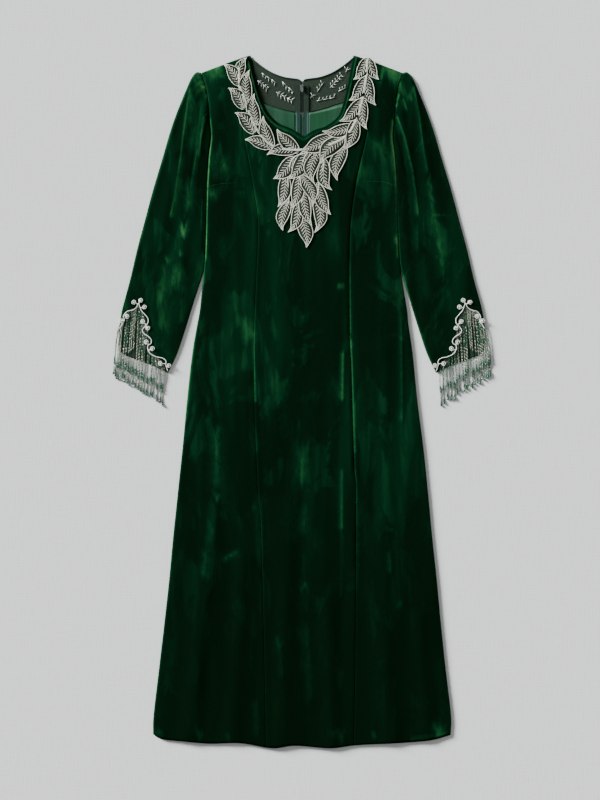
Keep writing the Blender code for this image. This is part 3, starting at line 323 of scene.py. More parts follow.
# Leaves of the applique: stem end x, y, then tip x, y, width, and bulge to the left as a share of length
LEAVES = (
    (-127, 636, -157, 675, 21, -0.07), (-126, 652, -111, 688, 17, 0.06), (-118, 590, -147, 627, 22, -0.07),
    (-110, 604, -105, 663, 22, 0.06), (-98, 541, -134, 578, 23, -0.07), (-91, 558, -95, 616, 22, 0.06),
    (-66, 510, -114, 524, 20, -0.04), (-61, 511, -77, 571, 21, 0.04), (-11, 503, -50, 545, 22, 0.02),
    (-14, 503, -70, 494, 20, -0.06),
    (129, 683, 103, 644, 20, 0.07), (134, 683, 154, 644, 18, -0.07), (127, 645, 94, 602, 22, 0.07),
    (130, 645, 148, 592, 21, -0.07), (119, 601, 75, 561, 23, 0.07), (122, 599, 130, 544, 20, -0.07),
    (101, 549, 41, 541, 21, 0.05), (107, 560, 85, 505, 23, 0.05), (56, 528, -3, 502, 26, 0.01),
    (82, 526, 37, 476, 28, -0.08), (84, 506, 71, 442, 24, -0.1),
    (-19, 485, -57, 446, 25, 0.06), (8, 496, -28, 445, 25, 0.06), (33, 500, 25, 436, 24, -0.14),
    (45, 479, 60, 423, 22, -0.13), (-33, 450, -48, 390, 22, 0.05), (-6, 450, -23, 386, 22, 0.05),
    (-2, 450, 20, 390, 22, 0.11), (31, 432, 58, 374, 22, -0.04), (-28, 396, -38, 342, 21, -0.08),
    (-8, 392, -28, 339, 20, 0.1), (2, 419, 20, 352, 20, -0.03), (30, 404, 25, 338, 22, 0.11),
    (-2, 367, 9, 308, 24, 0.05),
)
STEMS = (
    ((-126, 668), (-124, 632), (-112, 598), (-102, 568), (-88, 541), (-66, 516), (-38, 506), (-8, 503)),
    ((131, 684), (128, 646), (120, 600), (108, 562), (88, 532), (60, 516), (30, 508), (-8, 503)),
    ((88, 532), (84, 506)),
    ((30, 508), (8, 494), (-4, 455), (0, 415), (-4, 366)),
    ((14, 500), (-19, 486), (-28, 450), (-26, 420), (-27, 396)),
    ((30, 508), (44, 480), (34, 436), (31, 404)),
)
# Outline and height of a leaf, its net, and its rim, vein and stitches
LEAF_FULLEST = 0.88
LEAF_BLUNT = 0.72
LEAF_HOLLOW = 0.5
LEAF_HOLLOW_FROM = 0.58
LEAF_OTHER_HOLLOW = 0.12
LEAF_FOOT = 0.12
LEAF_FULLER = 1.17
LEAF_LEVELS = 4
LEAF_STEP = 0.16
LEAF_BASE = 0.7
LEAF_CROWN = 0.7
LEAF_ROWS = 15
LEAF_REACH = (0.02, 0.985)
LEAF_NET_HALF = 0.97
LEAF_COLUMNS = 7
LEAF_BEND = 1.5
LEAF_HOOK = 0.03
LEAF_SLENDER_FROM = 0.45
LEAF_NEAR = 110.0
RIM_CORD = 0.61
RIM_RISE = 0.7
RIM_STEPS = 34
VEIN_CORD = 0.3
VEIN_REACH = 0.9
VEIN_STEPS = 18
HERRINGBONE_CORD = 0.47
HERRINGBONE_STEP = 5.2
HERRINGBONE_LEAN = 6.5
HERRINGBONE_SPAN = (0.06, 0.58)
HERRINGBONE_STARTS = (0.04, 0.84)
HERRINGBONE_RISES = (0.35, 0.5, 0.4)
# Braided stems: how many are wide, then cords, radius, sway and pitch of wide and of narrow ones
WIDE_STEMS = 2
WIDE_BRAID = (3, 0.66, 1.6, 10.0)
NARROW_BRAID = (2, 0.6, 0.7, 8.0)
BRAID_STEP = 1.5
BRAID_RISE = 1.5
BRAID_CROSSING = 0.45
WIDE_SHOWS = 0.5
NARROW_SHOWS = 0.36

# Cord scroll round the notch, from the outer edge over the peak to the inner edge
SCROLL = (
    (365, 147), (361, 153), (355, 163), (357, 171), (350, 181), (339, 184), (331, 189), (327, 197),
    (324, 191), (321, 183), (314, 175), (308, 167), (308, 158), (314, 151), (319, 144), (316, 137),
    (307, 131), (301, 124), (302, 117), (308, 113), (308, 105), (302, 96), (290, 90), (279, 88),
    (272, 82), (272, 73), (268, 62),
)
ROSETTES = (
    (336, 199), (322, 203), (315, 190), (350, 171), (361, 162), (318, 161), (308, 148),
    (311, 120), (299, 107), (283, 77), (266, 73),
)
SCROLL_RADIUS = 1.0
SCROLL_RISE = 0.2
ROPE_STRANDS = 2
ROPE_STRAND = 0.42
ROPE_OFFSET = 0.27
ROPE_PITCH = 5.5
ROPE_STEP = 1.0
ROSETTE_RADIUS = 5.1
ROSETTE_TURNS = 1.25
ROSETTE_ROPE = 1.1
ROSETTE_STEPS = 46
PEARL = (1.5, 1.5, 1.2)
PEARL_RISE = 2.6

# Bead fringe
NOTCH_STEPS = 60
STRANDS = 40
STRAND_STEPS = 24
STRANDS_CROWD = 1.35
# Random spread of a pair's end across and along, of its sway, and of one strand in its pair
PAIR_END_SPREAD = (0.8, 2.4)
PAIR_SWAY = 0.9
STRAND_APART = 0.25
STRAND_ROOTS = (361.5, 274.5)
STRAND_ENDS = ((377, 54), (276, -4))
STRIP_GAP = 1.2
STRIP_CORD = 0.9
STRAND_Z = 3.05
STRAND_LOW_Z = 0.71
STRAND_PAST_HEM = 8.0
STRAND_BEND_RANGE = (0.1, 0.9)
HEM_REACH = 9.0
BUNCHING = 0.22
BUGLE_PITCH = 6.2
BUGLE = (0.56, 2.3)
SEED_BEAD = (0.85, 0.7)
GREEN_BEAD = (1.9, 1.6)
GREEN_BUGLE = 1.0
STRAND_SPREAD = 6.2
BUGLE_SHORTEST = 0.9
GREEN_SLIP = 3.0
AIM = 0.01
OFF_FLOOR = 0.05
THREAD = 0.22
FRINGE_VARY = 0.07
DROP = (1.9, 2.4)
# Runs of green beads: least and greatest distance from a strand's end
GREEN_RUNS = ((0, 8), (25, 37))
# Tint of green beads, then tints to choose from: upper half of a strand, lower half, seed beads
GREEN_TINT = 0.95
UPPER_TINTS = (0.2, 0.2, 0.42, 0.62, 0.62, 0.62, 0.95, 0.95)
LOWER_TINTS = (0.2, 0.2, 0.2, 0.42, 0.62)
SEED_TINTS = (0.2, 0.62, 0.95, 0.95)
# Share of beads in their strand's own tint
OWN_TINT = 0.7
# Stretch over the under layer that bears no beads: distance to the middle, lowest and highest y
BARE_STRETCH = ((331, 85, 85), (333, 85, 109), (355, 92, 92))

# Beaded sprigs of the net yoke: root x, y, then tip x, y, then side sticks, and their side or 0 for both
SPRIGS = (
    (-81, 658, -51, 638, 5, -1), (-89, 643, -68, 626, 4, 0), (-40, 640.5, -16, 619, 4, -1),
    (-52, 620, -18, 601.5, 5, 0), (17, 619, 24, 606, 1, 0), (29, 602, 67, 609.5, 5, 1),
    (30, 620, 43, 639, 3, 1), (56, 628, 80, 655, 5, 0), (87, 659, 92, 670, 1, 0), (72, 621, 89, 629, 3, 1),
)
SPRIG_BEAD = 0.5
SPRIG_STICK = 8.0
SPRIG_STEP = 13.0
SPRIG_FILLS = 0.46
SPRIG_OFF_STEM = 1.6
SPRIG_LEAN = math.radians(52)
SPRIG_Z = 1.95

# Bound back neck edge and yoke stitches: radius, height, and for the stitches also half length and step
ZIP_OPENING = 3.4
BINDING = (1.25, 1.35)
STITCH = (0.28, 1.5, 1.25, 3.6)
STITCH_FROM_X = 14.0
STITCH_TO_X = 108.0
STITCH_ABOVE_SEAM = 2.4

# Zip
ZIP_TOP = 633.0
ZIP_LENGTH = 500.0
TOOTH_PITCH = 1.5
TOOTH = (1.35, 0.5, 0.6)
TOOTH_X = 0.75
TOOTH_Z = 3.1

# Pile from dark to pale, where it is brushed up or painted lit, and beads by their tint: first colour, then
# colours with their range
VELVET_TONES = ((0, 13, 3), (
    ((0, 29, 13), 0.0, 0.16), ((17, 61, 31), 0.1, 0.42), ((56, 102, 60), 0.38, 0.8),
    ((98, 146, 102), 0.75, 1.15),
))
BEAD_TONES = ((122, 134, 118), (
    ((140, 124, 114), 0.3, 0.34), ((58, 90, 66), 0.52, 0.56), ((4, 66, 38), 0.72, 0.76),
))

# Sun, sky, floor and camera
SUN = 17.4
SUN_ANGLE = math.radians(18)
SUN_FROM = (-2.7, 1.7, 1.0)
SKY = (0.97, 0.985, 0.98, 1.0)
SKY_STRENGTH = 0.46
FLOOR_SIZE = 30.0
FLOOR_Z = -0.0003
CAMERA_AT = (-0.004, 0.004, 6.0)
CAMERA_LENS = 135.0
CAMERA_SENSOR = 36.0


def smooth_path(points, per_span=24):
    """A fine path on a smooth curve through the given points."""
    knots = np.asarray(points, float)
    ends = np.vstack([2 * knots[0] - knots[1], knots, 2 * knots[-1] - knots[-2]])
    fine = []
    for a, b, c, d in zip(ends, ends[1:], ends[2:], ends[3:]):
        for u in np.arange(per_span) / per_span:
            bend = (2 * a - 5 * b + 4 * c - d) * u * u + (3 * b - a - 3 * c + d) * u ** 3
            fine.append(0.5 * (2 * b + (c - a) * u + bend))
    fine.append(knots[-1])
    return np.array(fine)


def lengths_along(path):
    steps = np.linalg.norm(np.diff(path, axis=0), axis=1)
    return np.concatenate([[0.0], np.cumsum(steps)])


def at_fractions(path, fractions):
    """Points at the given fractions of the length of a path."""
    path = np.asarray(path, float)
    along = lengths_along(path)
    return np.column_stack([np.interp(fractions, along / along[-1], column) for column in path.T])


def even_points(path, count):
    return at_fractions(path, np.linspace(0, 1, count))


def by_step(path, step):
    """Points along a path, about a step apart."""
    path = np.asarray(path, float)
    return even_points(path, max(2, int(round(lengths_along(path)[-1] / step)) + 1))


def smooth_points(points, count):
    return even_points(smooth_path(points), count)


def points_in_two(points, level, below, above):
    """Points along a rising curve, evenly spaced below a height and above it."""
    path = smooth_path(points)
    split = int(np.argmax(path[:, 1] >= level))
    return join(even_points(path[: split + 1], below + 1), even_points(path[split:], above + 1))


def join(*runs):
    """Runs of points end to end, with each shared end kept once."""
    return np.vstack([runs[0]] + [run[1:] for run in runs[1:]])


def mirrored(points, side):
    """Points drawn on the right side, on side +1 or -1."""
    return np.asarray(points, float) * (side, 1)


def shifted(points, dx):
    return np.asarray(points, float) + (dx, 0)


def patch(bottom, top, left, right, columns=None):
    """Rows of points that fill four edges: left and right run upwards, bottom and top run from left."""
    if columns is None:
        columns = np.linspace(0, 1, len(bottom))
    v = np.asarray(columns)[None, :, None]
    t = np.linspace(0, 1, len(left))[:, None, None]
    across = (1 - v) * left[:, None] + v * right[:, None]
    along = (1 - t) * bottom[None] + t * top[None]
    corners = (1 - t) * ((1 - v) * bottom[0] + v * bottom[-1]) + t * ((1 - v) * top[0] + v * top[-1])
    return across + along - corners


def ease(value):
    value = np.clip(value, 0.0, 1.0)
    return value * value * (3 - 2 * value)


def ramp(value, low, high):
    """0 below low, 1 above high, and smooth between them."""
    return ease((value - low) / (high - low))


def ridge(distance, height, middle, width):
    """A soft ridge along a line, highest at a middle distance from it."""
    return height * np.exp(-(((distance - middle) / width) ** 2))


def soft_lines(x, y, rows, lean=0.0):
    """Sum of soft lines at x, y, fading out at their ends.

    With a lean, one side of a line is soft and the other crisp.
    """
    total = np.zeros(np.broadcast(x, y).shape)
    for x0, y0, x1, y1, width, strength in rows:
        run = max(math.hypot(x1 - x0, y1 - y0), 1e-6)
        ux, uy = (x1 - x0) / run, (y1 - y0) / run
        along = (x - x0) * ux + (y - y0) * uy
        across = (x - x0) * uy - (y - y0) * ux
        fade = ease((along + width) / (2 * width)) * ease((run + width - along) / (2 * width))
        reach = width * np.where(across > 0, 1 + lean, 1 - lean)
        body = ridge(across, 1 - lean, 0, reach) + ridge(across, lean, 0, LINE_CORE * width)
        total = total + strength * fade * body
    return total


def distance_to(path, x, y):
    """Distance from each x, y to the nearest point of a path."""
    flat = np.column_stack([np.ravel(x), np.ravel(y)])
    nearest = np.full(len(flat), np.inf)
    for a, b in zip(path[:-1], path[1:]):
        run = b - a
        share = np.clip(((flat - a) @ run) / max(run @ run, 1e-9), 0, 1)
        nearest = np.minimum(nearest, np.linalg.norm(flat - a - share[:, None] * run, axis=1))
    return nearest.reshape(np.shape(x))


def waves(x, y, height, seed, wavelength):
    """Uneven waves of at most a height, longer down the cloth than across it."""
    random = np.random.default_rng(seed)
    total = np.zeros(np.broadcast(x, y).shape)
    for _ in range(WAVE_COUNT):
        turn = random.normal(0, 0.35)
        pitch = wavelength * random.uniform(0.6, 1.8)
        phase = random.uniform(0, math.tau)
        total = total + np.sin((x * math.cos(turn) + 0.3 * y * math.sin(turn)) * math.tau / pitch + phase)
    return height * (total / WAVE_COUNT)


def strayed(x, y, seed):
    """The same places, unevenly shifted, so that brushed marks have ragged edges."""
    reach, long, short = STRAY_X
    off_x = reach * (waves(x, y, 1.0, seed, long) + waves(y, x, 0.6, seed + 1, short))
    reach, long, short = STRAY_Y
    off_y = reach * (waves(x, y, 1.0, seed + 2, long) + waves(x, y, 0.5, seed + 3, short))
    return x + off_x, y + off_y


def rolled(distance, share, radius):
    """How far an edge has turned down, at a distance from it."""
    inside = np.clip(1 - distance / radius, 0, 1)
    return share * (radius * (1 - np.sqrt(1 - inside ** 2)))


def side_points(side):
    column = 2 if side > 0 else 1
    return np.array([(row[column], row[0]) for row in BODY_SIDE], float)


EDGES = {
    side: np.vstack([smooth_path(side_points(side))[:-1], smooth_path(mirrored(ARMHOLE, side))])
    for side in (-1, 1)
}
SEAMS = {-1: smooth_path(LEFT_LONG_SEAM), 1: smooth_path(RIGHT_LONG_SEAM)}
NECK = join(smooth_path(FRONT_NECK_LEFT), smooth_path(FRONT_NECK_RIGHT))
HEM_PATH = smooth_path(HEM)


def edge_x(y, side):
    return np.interp(y, EDGES[side][:, 1], np.abs(EDGES[side][:, 0]))


def seam_x(y, side):
    return np.interp(y, SEAMS[side][:, 1], SEAMS[side][:, 0])


def shoulder_y(x):
    slope = (SHOULDER_TIP[1] - NECK_POINT[1]) / (SHOULDER_TIP[0] - NECK_POINT[0])
    return NECK_POINT[1] + slope * np.maximum(np.abs(x) - NECK_POINT[0], 0)


def side_gap(x, y):
    """Distance inwards from the side seam or the armhole."""
    return np.where(x > 0, edge_x(y, 1), edge_x(y, -1)) - np.abs(x)


def seam_shows(y, least):
    """How sharp the long seams of the front are: 1 at the chest, and least near the hem."""
    return least + (1 - least) * ramp(y, *SEAM_FADES)


def front_base(x, y):
    """Height of the front's outer face, with its folds and creases: low and rounded at the edges."""
    inside = np.clip(side_gap(x, y) / EDGE_ROUND, 0, 1)
    rounded = np.sqrt(1 - (1 - inside) ** 2)
    shoulder = ease((shoulder_y(x) - y) / SHOULDER_ROUND)
    lift = SKIRT_LIFT + (CHEST_LIFT - SKIRT_LIFT) * ramp(y, *LIFT_RANGE)
    creases = soft_lines(x, y, FRONT_FOLDS) + soft_lines(x, y, FRONT_CREASES) + waves(x, y, *FRONT_WAVES)
    return UNDER_FRONT + WALL + (lift + creases) * rounded * shoulder


def front_height(x, y):
    """The same with its seams, its rolled neck edge and its turned side edges."""
    height = front_base(x, y)
    for side in (-1, 1):
        off = np.abs(x - seam_x(y, side))
        puff = (0.7 + 0.5 * np.sin(y / 23.0 + side)) * ridge(off, *SEAM_PUFF)
        height = height + seam_shows(y, SEAM_LEAST) * (puff + ridge(off, *SEAM_VALLEY))
    neck = distance_to(NECK[::3], x, y)
    height = height + ridge(neck, *NECK_BEAD) - rolled(neck, *NECK_ROLL)
    off = np.maximum(side_gap(x, y), 0)
    above = ramp(y, *ROLL_CHANGES)
    height = height - (1 - above) * rolled(off, *SIDE_ROLL) - above * rolled(off, *ARM_ROLL)
    hem = y - np.interp(x, HEM_PATH[:, 0], HEM_PATH[:, 1])
    height = height - rolled(np.maximum(hem, 0), *HEM_ROLL) + ridge(hem, *HEM_GROOVE)
    return height - rolled(np.maximum(shoulder_y(x) - y, 0), *SHOULDER_ROLL)


def marks_and_painted_light(x, y, marks, strength, leans, seed):
    """How far the pile is combed up, with painted highlights, and painted shade where a strength is negative:
    crisp thin marks, and wide ones with ragged edges.
    """
    thin = [row for row in marks if row[4] < WIDE_MARK]
    wide = [row for row in marks if row[4] >= WIDE_MARK]
    ragged = soft_lines(*strayed(x, y, seed), wide, leans[1])
    return strength * soft_lines(x, y, thin, leans[0]) + WIDE_MARK_SHOWS * ragged


def front_nap_and_painted_light(x, y):
    """The combed-up marks and painted highlights of the front, with painted highlights along its neck edge,
    side edges and seams, and painted shade beside the seams.
    """
    marks = marks_and_painted_light(x, y, FRONT_NAP_AND_HIGHLIGHTS, 1.0, (0.3, 0.2), 90)
    neck = distance_to(NECK[::3], x, y)
    on_left = x < NECK[len(NECK) // 2, 0]
    marks = marks + np.where(on_left, ridge(neck, *LEFT_NECK_HIGHLIGHT), ridge(neck, *RIGHT_NECK_HIGHLIGHT))
    marks = marks + ridge(side_gap(x, y), *SIDE_HIGHLIGHT)
    for side in (-1, 1):
        off = side * (x - seam_x(y, side))
        marks = marks + seam_shows(y, SEAM_LIGHT_LEAST) * (ridge(off, *SEAM_HIGHLIGHT) + ridge(off, *SEAM_SHADE))
    return marks


def add_node(tree, kind, settings, sockets):
    """A node with these settings, and with its inputs set or linked."""
    made = tree.nodes.new(kind)
    for key, value in (settings or {}).items():
        setattr(made, key, value)
    slots = {slot.identifier: slot for slot in made.inputs}
    for key, value in (sockets or {}).items():
        if isinstance(value, bpy.types.NodeSocket):
            tree.links.new(value, slots[key])
        else:
            slots[key].default_value = value
    return made


class Wire:
    """A value in a shader. Its operators add Math nodes."""

    def __init__(self, finish, socket):
        self.finish = finish
        self.socket = socket

    def maths(self, operation, *others, clamp=False):
        names = ("Value", "Value_001", "Value_002")
        settings = {"operation": operation, "use_clamp": clamp}
        return self.finish.node("ShaderNodeMath", settings, dict(zip(names, others)))

    def __add__(self, other):
        return self.maths("ADD", self, other)

    __radd__ = __add__

    def __sub__(self, other):
        return self.maths("SUBTRACT", self, other)

    def __rsub__(self, other):
        return self.maths("SUBTRACT", other, self)

    def __mul__(self, other):
        return self.maths("MULTIPLY", self, other)

    __rmul__ = __mul__

    def wave(self, length):
        """A sine of the value, with this wavelength."""
        return self.maths("SINE", self * (math.tau / length))

    def size(self):
        return self.maths("ABSOLUTE", self)

    def held(self):
        return self.maths("ADD", self, 0.0, clamp=True)

    def within(self, low, high):
        """0 below low, 1 above high, and smooth between them."""
        return self.finish.node(
            "ShaderNodeMapRange", {"interpolation_type": "SMOOTHSTEP"},
            {"Value": self, "From Min": low, "From Max": high}, "Result")


class Finish:
    """A material round one Principled shader. Its colours are sRGB values of 0 to 255."""

    def __init__(self, name, constants):
        self.material = bpy.data.materials.new(name)
        self.material.use_nodes = True
        self.tree = self.material.node_tree
        self.shader = self.tree.nodes["Principled BSDF"]
        for label, value in constants.items():
            self.shader.inputs[label].default_value = value

    def node(self, kind, settings=None, sockets=None, out=0):
        values = {key: getattr(value, "socket", value) for key, value in (sockets or {}).items()}
        made = add_node(self.tree, kind, settings, values)
        if isinstance(out, str):
            out = [slot.identifier for slot in made.outputs].index(out)
        return Wire(self, made.outputs[out])

    def where(self):
        return self.node("ShaderNodeTexCoord", out="Object")

    def axis(self, name):
        return self.node("ShaderNodeSeparateXYZ", sockets={"Vector": self.where()}, out=name)

    def noise(self, scale, stretch=(1, 1, 1), detail=3.0, rough=0.55, twist=0.0):
        place = self.node("ShaderNodeMapping", sockets={"Vector": self.where(), "Scale": stretch})
        sockets = {"Vector": place, "Scale": scale, "Detail": detail, "Roughness": rough, "Distortion": twist}
        return self.node("ShaderNodeTexNoise", sockets=sockets, out="Fac")

    def attribute(self, name):
        return self.node("ShaderNodeAttribute", {"attribute_name": name}, out="Fac")

    def mix(self, factor, *colours):
        first, second = (linear(shade) if isinstance(shade, tuple) else shade for shade in colours)
        return self.node("ShaderNodeMix", {"data_type": "RGBA"},
                         {"Factor_Float": factor, "A_Color": first, "B_Color": second}, "Result_Color")

    def tones(self, value, first, steps):
        """A colour that turns into each step's as the value passes from its low to its high."""
        for shade, low, high in steps:
            first = self.mix(value.within(low, high), first, shade)
        return first

    def bump(self, height, distance, strength, over=None):
        sockets = {"Height": height, "Distance": distance, "Strength": strength}
        if over is not None:
            sockets["Normal"] = over
        return self.node("ShaderNodeBump", sockets=sockets)

    def surface(self, base, roughness, relief=None, **more):
        """The material, with its colour, its roughness, its relief and any other input fed."""
        wires = {"Base Color": base, "Roughness": roughness, **more}
        if relief:
            wires["Normal"] = self.bump(*relief)
        for label, wire in wires.items():
            self.tree.links.new(wire.socket, self.shader.inputs[label.replace("_", " ")])
        return self.material


def linear(shade):
    """A linear colour from its sRGB values of 0 to 255."""
    parts = [value / 255 for value in shade]
    return tuple(p / 12.92 if p < 0.04045 else ((p + 0.055) / 1.055) ** 2.4 for p in parts) + (1.0,)


def make_velvet():
    """Crushed velvet: a dark pile, paler where it stands up, in broken patches and streaks, and paler or
    darker where a piece's attribute holds painted highlights and painted shade.
    """
    velvet = Finish("velvet_pile", {
        "Specular IOR Level": 0.02, "Sheen Weight": 0.12, "Sheen Roughness": 0.35,
        "Sheen Tint": linear((26, 122, 70))})
    streaks = velvet.noise(1.0, (52, 7, 20), 4.0, 0.6, 0.4)
    bands = velvet.noise(1.0, (17, 2.2, 10), 2.0, 0.5, 0.3)
    clouds = velvet.noise(1.0, (13, 6.5, 10), 4.0, 0.6, 1.0)
    crush = velvet.noise(1.0, (150, 62, 90), 4.0, 0.7, 1.5)
    pile = velvet.noise(1500, (1, 0.55, 1), 2.0, 0.7)
    # Brushed nap, painted highlights and painted shade, from each piece's attribute
    marks = velvet.attribute("nap_and_painted_light")
    upper = velvet.axis("Y").within(-0.5, 0.15)
    torn = (marks * 2.5).held() * (0.42 * (crush - 0.5) + 0.4 * (streaks - 0.5))
    patches = clouds.within(0.5, 0.58) * (0.02 + 0.08 * streaks.within(0.42, 0.66))
    ground = (0.4 + 0.9 * upper) * (patches + 0.08 * bands.within(0.42, 0.75)) + 0.03 * upper + 0.01
    level = marks * 0.55 + torn + ground + 0.06 * (crush - 0.5)
    level = (level + 0.05 * (pile - 0.5)).held()
    base = velvet.tones(level, *VELVET_TONES)
    soft = velvet.bump(streaks + 0.5 * crush, 0.0006, 0.4)
    return velvet.surface(base, 0.95 - 0.3 * level, (pile, 0.00025, 0.5, soft))


def make_net():
    """Fine mesh of a grey-green yarn, with a soft unevenness."""
    net = Finish("sheer_net", {"Specular IOR Level": 0.1, "Sheen Weight": 0.03, "Sheen Roughness": 0.5})
    pitch = 0.0011
    lean = net.axis("X") + 0.5 * net.axis("Y")
    back = net.axis("X") - 0.5 * net.axis("Y")
    yarn = (lean.wave(pitch).size() * back.wave(pitch).size()).within(0.05, 0.5)
    cloud = net.noise(26)
    dark = net.mix(cloud, (14, 26, 17), (25, 38, 27))
    return net.surface(net.mix(yarn, (44, 61, 45), dark), 0.62 + 0.2 * cloud, (1 - yarn, 0.0003, 0.7))


def make_satin(name, shade, light):
    """Satin with soft puckers, paler on their crests as a painted sheen, from its shade to its light colour.
    """
    satin = Finish(name, {
        "Specular IOR Level": 0.25, "Sheen Weight": 0.08, "Sheen Roughness": 0.35, "Anisotropic": 0.3})
    puckers = satin.noise(1.0, (60, 9, 20), 3.0, 0.5, 0.5)
    threads = satin.axis("X").wave(0.0006)
    soft = satin.bump(puckers, 0.0007, 0.5)
    # Painted sheen: paler where the puckers rise
    base = satin.mix(puckers.within(0.25, 0.8), shade, light)
    return satin.surface(base, 0.38 + 0.14 * puckers, (threads, 0.00008, 0.4, soft))


def make_tape():
    """Woven zip tape: herringbone, with a paler edge where it lies below the yoke."""
    tape = Finish("woven_zip_tape", {"Specular IOR Level": 0.1})
    x, y = tape.axis("X").size(), tape.axis("Y")
    row = x.wave(0.0024).size()
    twill = (y + row * 0.0012).wave(0.0014).within(-0.5, 0.6)
    below = 1 - y.within(0.576, 0.582)
    edge = x.within(0.0094, 0.0102) * (1 - x.within(0.0122, 0.0128)) * below
    ground = tape.mix(below, (20, 36, 27), (12, 46, 37))
    ground = tape.mix(twill * 0.4, ground, (12, 30, 26))
    return tape.surface(tape.mix(edge * 0.6, ground, (58, 92, 82)), 0.55 + 0.2 * twill, (twill, 0.0002, 0.6))


def make_metal():
    metal = Finish("dull_zip_metal", {"Metallic": 0.85})
    wear = metal.noise(420, detail=4.0, rough=0.7)
    brushed_lines = metal.noise(1.0, (2600, 200, 900), 2.0)
    base = metal.mix(wear, (73, 82, 78), (115, 124, 119))
    return metal.surface(base, 0.42 + 0.2 * wear, (brushed_lines, 0.00005, 0.3))


def make_cord(name, groove_shade, shade, light):
    """Cord of twisted thread: the twist follows the cord's own length and turn, with painted shade in its
    hollows.
    """
    cord = Finish(name, {"Specular IOR Level": 0.5, "Sheen Weight": 0.1})
    twist = (cord.attribute("along") * (1 / 0.0026) + cord.attribute("around")).wave(1.0)
    tone = cord.noise(130)
    # Painted shade in the hollows of the twist
    base = cord.mix(twist.within(-1.0, -0.1), groove_shade, cord.mix(tone.within(0.35, 0.65), shade, light))
    return cord.surface(base, 0.3 + 0.22 * tone, (twist, 0.0003, 0.8), Metallic=0.2 * tone)


def make_thread():
    """Grey-silver stitching of the leaves, duller than the cord."""
    thread = Finish("grey_silver_thread", {"Specular IOR Level": 0.5})
    tone = thread.noise(240)
    base = thread.mix(tone.within(0.3, 0.7), (164, 171, 152), (216, 217, 200))
    return thread.surface(base, 0.35 + 0.25 * tone, (thread.noise(1400, detail=2.0), 0.0001, 0.5))


def make_leaf_net():
    """Dark net under the stitching of the leaves."""
    ground = Finish("leaf_net", {"Specular IOR Level": 0.2})
    knots = ground.noise(900, detail=2.0, rough=0.6)
    base = ground.mix(knots.within(0.35, 0.65), (8, 20, 12), (32, 44, 34))
    return ground.surface(base, 0.7 + 0.2 * knots, (knots, 0.0003, 0.6))


def make_sprig_glass():
    """Silver-lined bugles of the yoke."""
    glass = Finish("silver_bugle_glass", {"Specular IOR Level": 0.8, "Coat Weight": 0.4, "Metallic": 0.2})
    base = glass.mix(glass.attribute("tint"), (140, 153, 146), (188, 194, 187))
    return glass.surface(base, 0.16 + 0.2 * glass.noise(700, detail=2.0))


def make_beads():
    """Glass bugles: silver, a pinkish silver and green, by each bead's own tint."""
    beads = Finish("bugle_glass", {"Specular IOR Level": 0.5, "Coat Roughness": 0.08})
    tint = beads.attribute("tint")
    return beads.surface(beads.tones(tint, *BEAD_TONES), 0.14 + 0.16 * beads.noise(900, detail=2.0),
                         Metallic=0.2 * (1 - tint.within(0.5, 0.6)), Coat_Weight=0.5 - 0.35 * tint)


def make_green_glass():
    glass = Finish("green_glass_bead", {
        "Specular IOR Level": 0.6, "Coat Weight": 0.3, "Coat Roughness": 0.06})
    base = glass.mix(glass.attribute("tint"), (2, 54, 32), (14, 92, 60))
    return glass.surface(base, 0.1 + 0.15 * glass.noise(700, detail=2.0))


def make_dark_thread():
    """Dark green thread and narrow tape."""
    thread = Finish("dark_green_thread", {"Specular IOR Level": 0.3})
    tone = thread.noise(300)
    return thread.surface(thread.mix(tone, (5, 30, 17), (21, 58, 38)), 0.6 + 0.2 * tone)


def make_floor_finish():
    """Pale canvas: a faint slub weave in a light grey."""
    floor = Finish("pale_canvas", {"Specular IOR Level": 0.15})
    weave = 0.5 * floor.noise(1.0, (420, 30, 1), 3.0, 0.6) + 0.5 * floor.noise(1.0, (30, 420, 1), 3.0, 0.6)
    shade = floor.mix(weave.within(0.3, 0.7), (201, 203, 203), (208, 210, 210))
    base = floor.mix(0.35 * floor.noise(1.6, detail=2.0), shade, (192, 194, 194))
    return floor.surface(base, 0.85 + 0.1 * weave, (weave, 0.0008, 0.5))


class Tree:
    """A Geometry Nodes tree with named inputs. It ends in Realize Instances and Set Material."""

    def __init__(self, name, inputs):
        self.group = bpy.data.node_groups.new(name, "GeometryNodeTree")
        sockets = self.group.interface
        sockets.new_socket("Geometry", in_out="INPUT", socket_type="NodeSocketGeometry")
        self.labels = {}
        for label, (kind, value) in {**inputs, "Material": ("Material", None)}.items():
            socket = sockets.new_socket(label, in_out="INPUT", socket_type="NodeSocket" + kind)
            if value is not None:
                socket.default_value = value
            self.labels[label] = socket.identifier
        sockets.new_socket("Geometry", in_out="OUTPUT", socket_type="NodeSocketGeometry")
        self.entry = self.group.nodes.new("NodeGroupInput")

    def given(self, label):
        return self.entry.outputs[label]

    def node(self, kind, settings=None, sockets=None, out=0):
        return add_node(self.group, kind, settings, sockets).outputs[out]

    def maths(self, operation, first, second):
        return self.node("ShaderNodeMath", {"operation": operation}, {"Value": first, "Value_001": second})

    def named(self, name, kind="FLOAT"):
        return self.node("GeometryNodeInputNamedAttribute", {"data_type": kind}, {"Name": name})

    def random(self, low, high, seed_step):
        seed = self.node("FunctionNodeIntegerMath", {"operation": "ADD"},
                         {"Value": self.given("Seed"), "Value_001": seed_step})
        return self.node("FunctionNodeRandomValue", {"data_type": "FLOAT"},
                         {"Min_001": low, "Max_001": high, "Seed": seed}, 1)

    def close(self, geometry):
        whole = self.node("GeometryNodeRealizeInstances", sockets={"Geometry": geometry})
        smooth = self.node("GeometryNodeSetShadeSmooth", sockets={"Geometry": whole})
        finished = self.node("GeometryNodeSetMaterial", sockets={
            "Geometry": smooth, "Material": self.given("Material")})
        last = self.group.nodes.new("NodeGroupOutput")
        self.group.links.new(finished, last.inputs["Geometry"])
        return self


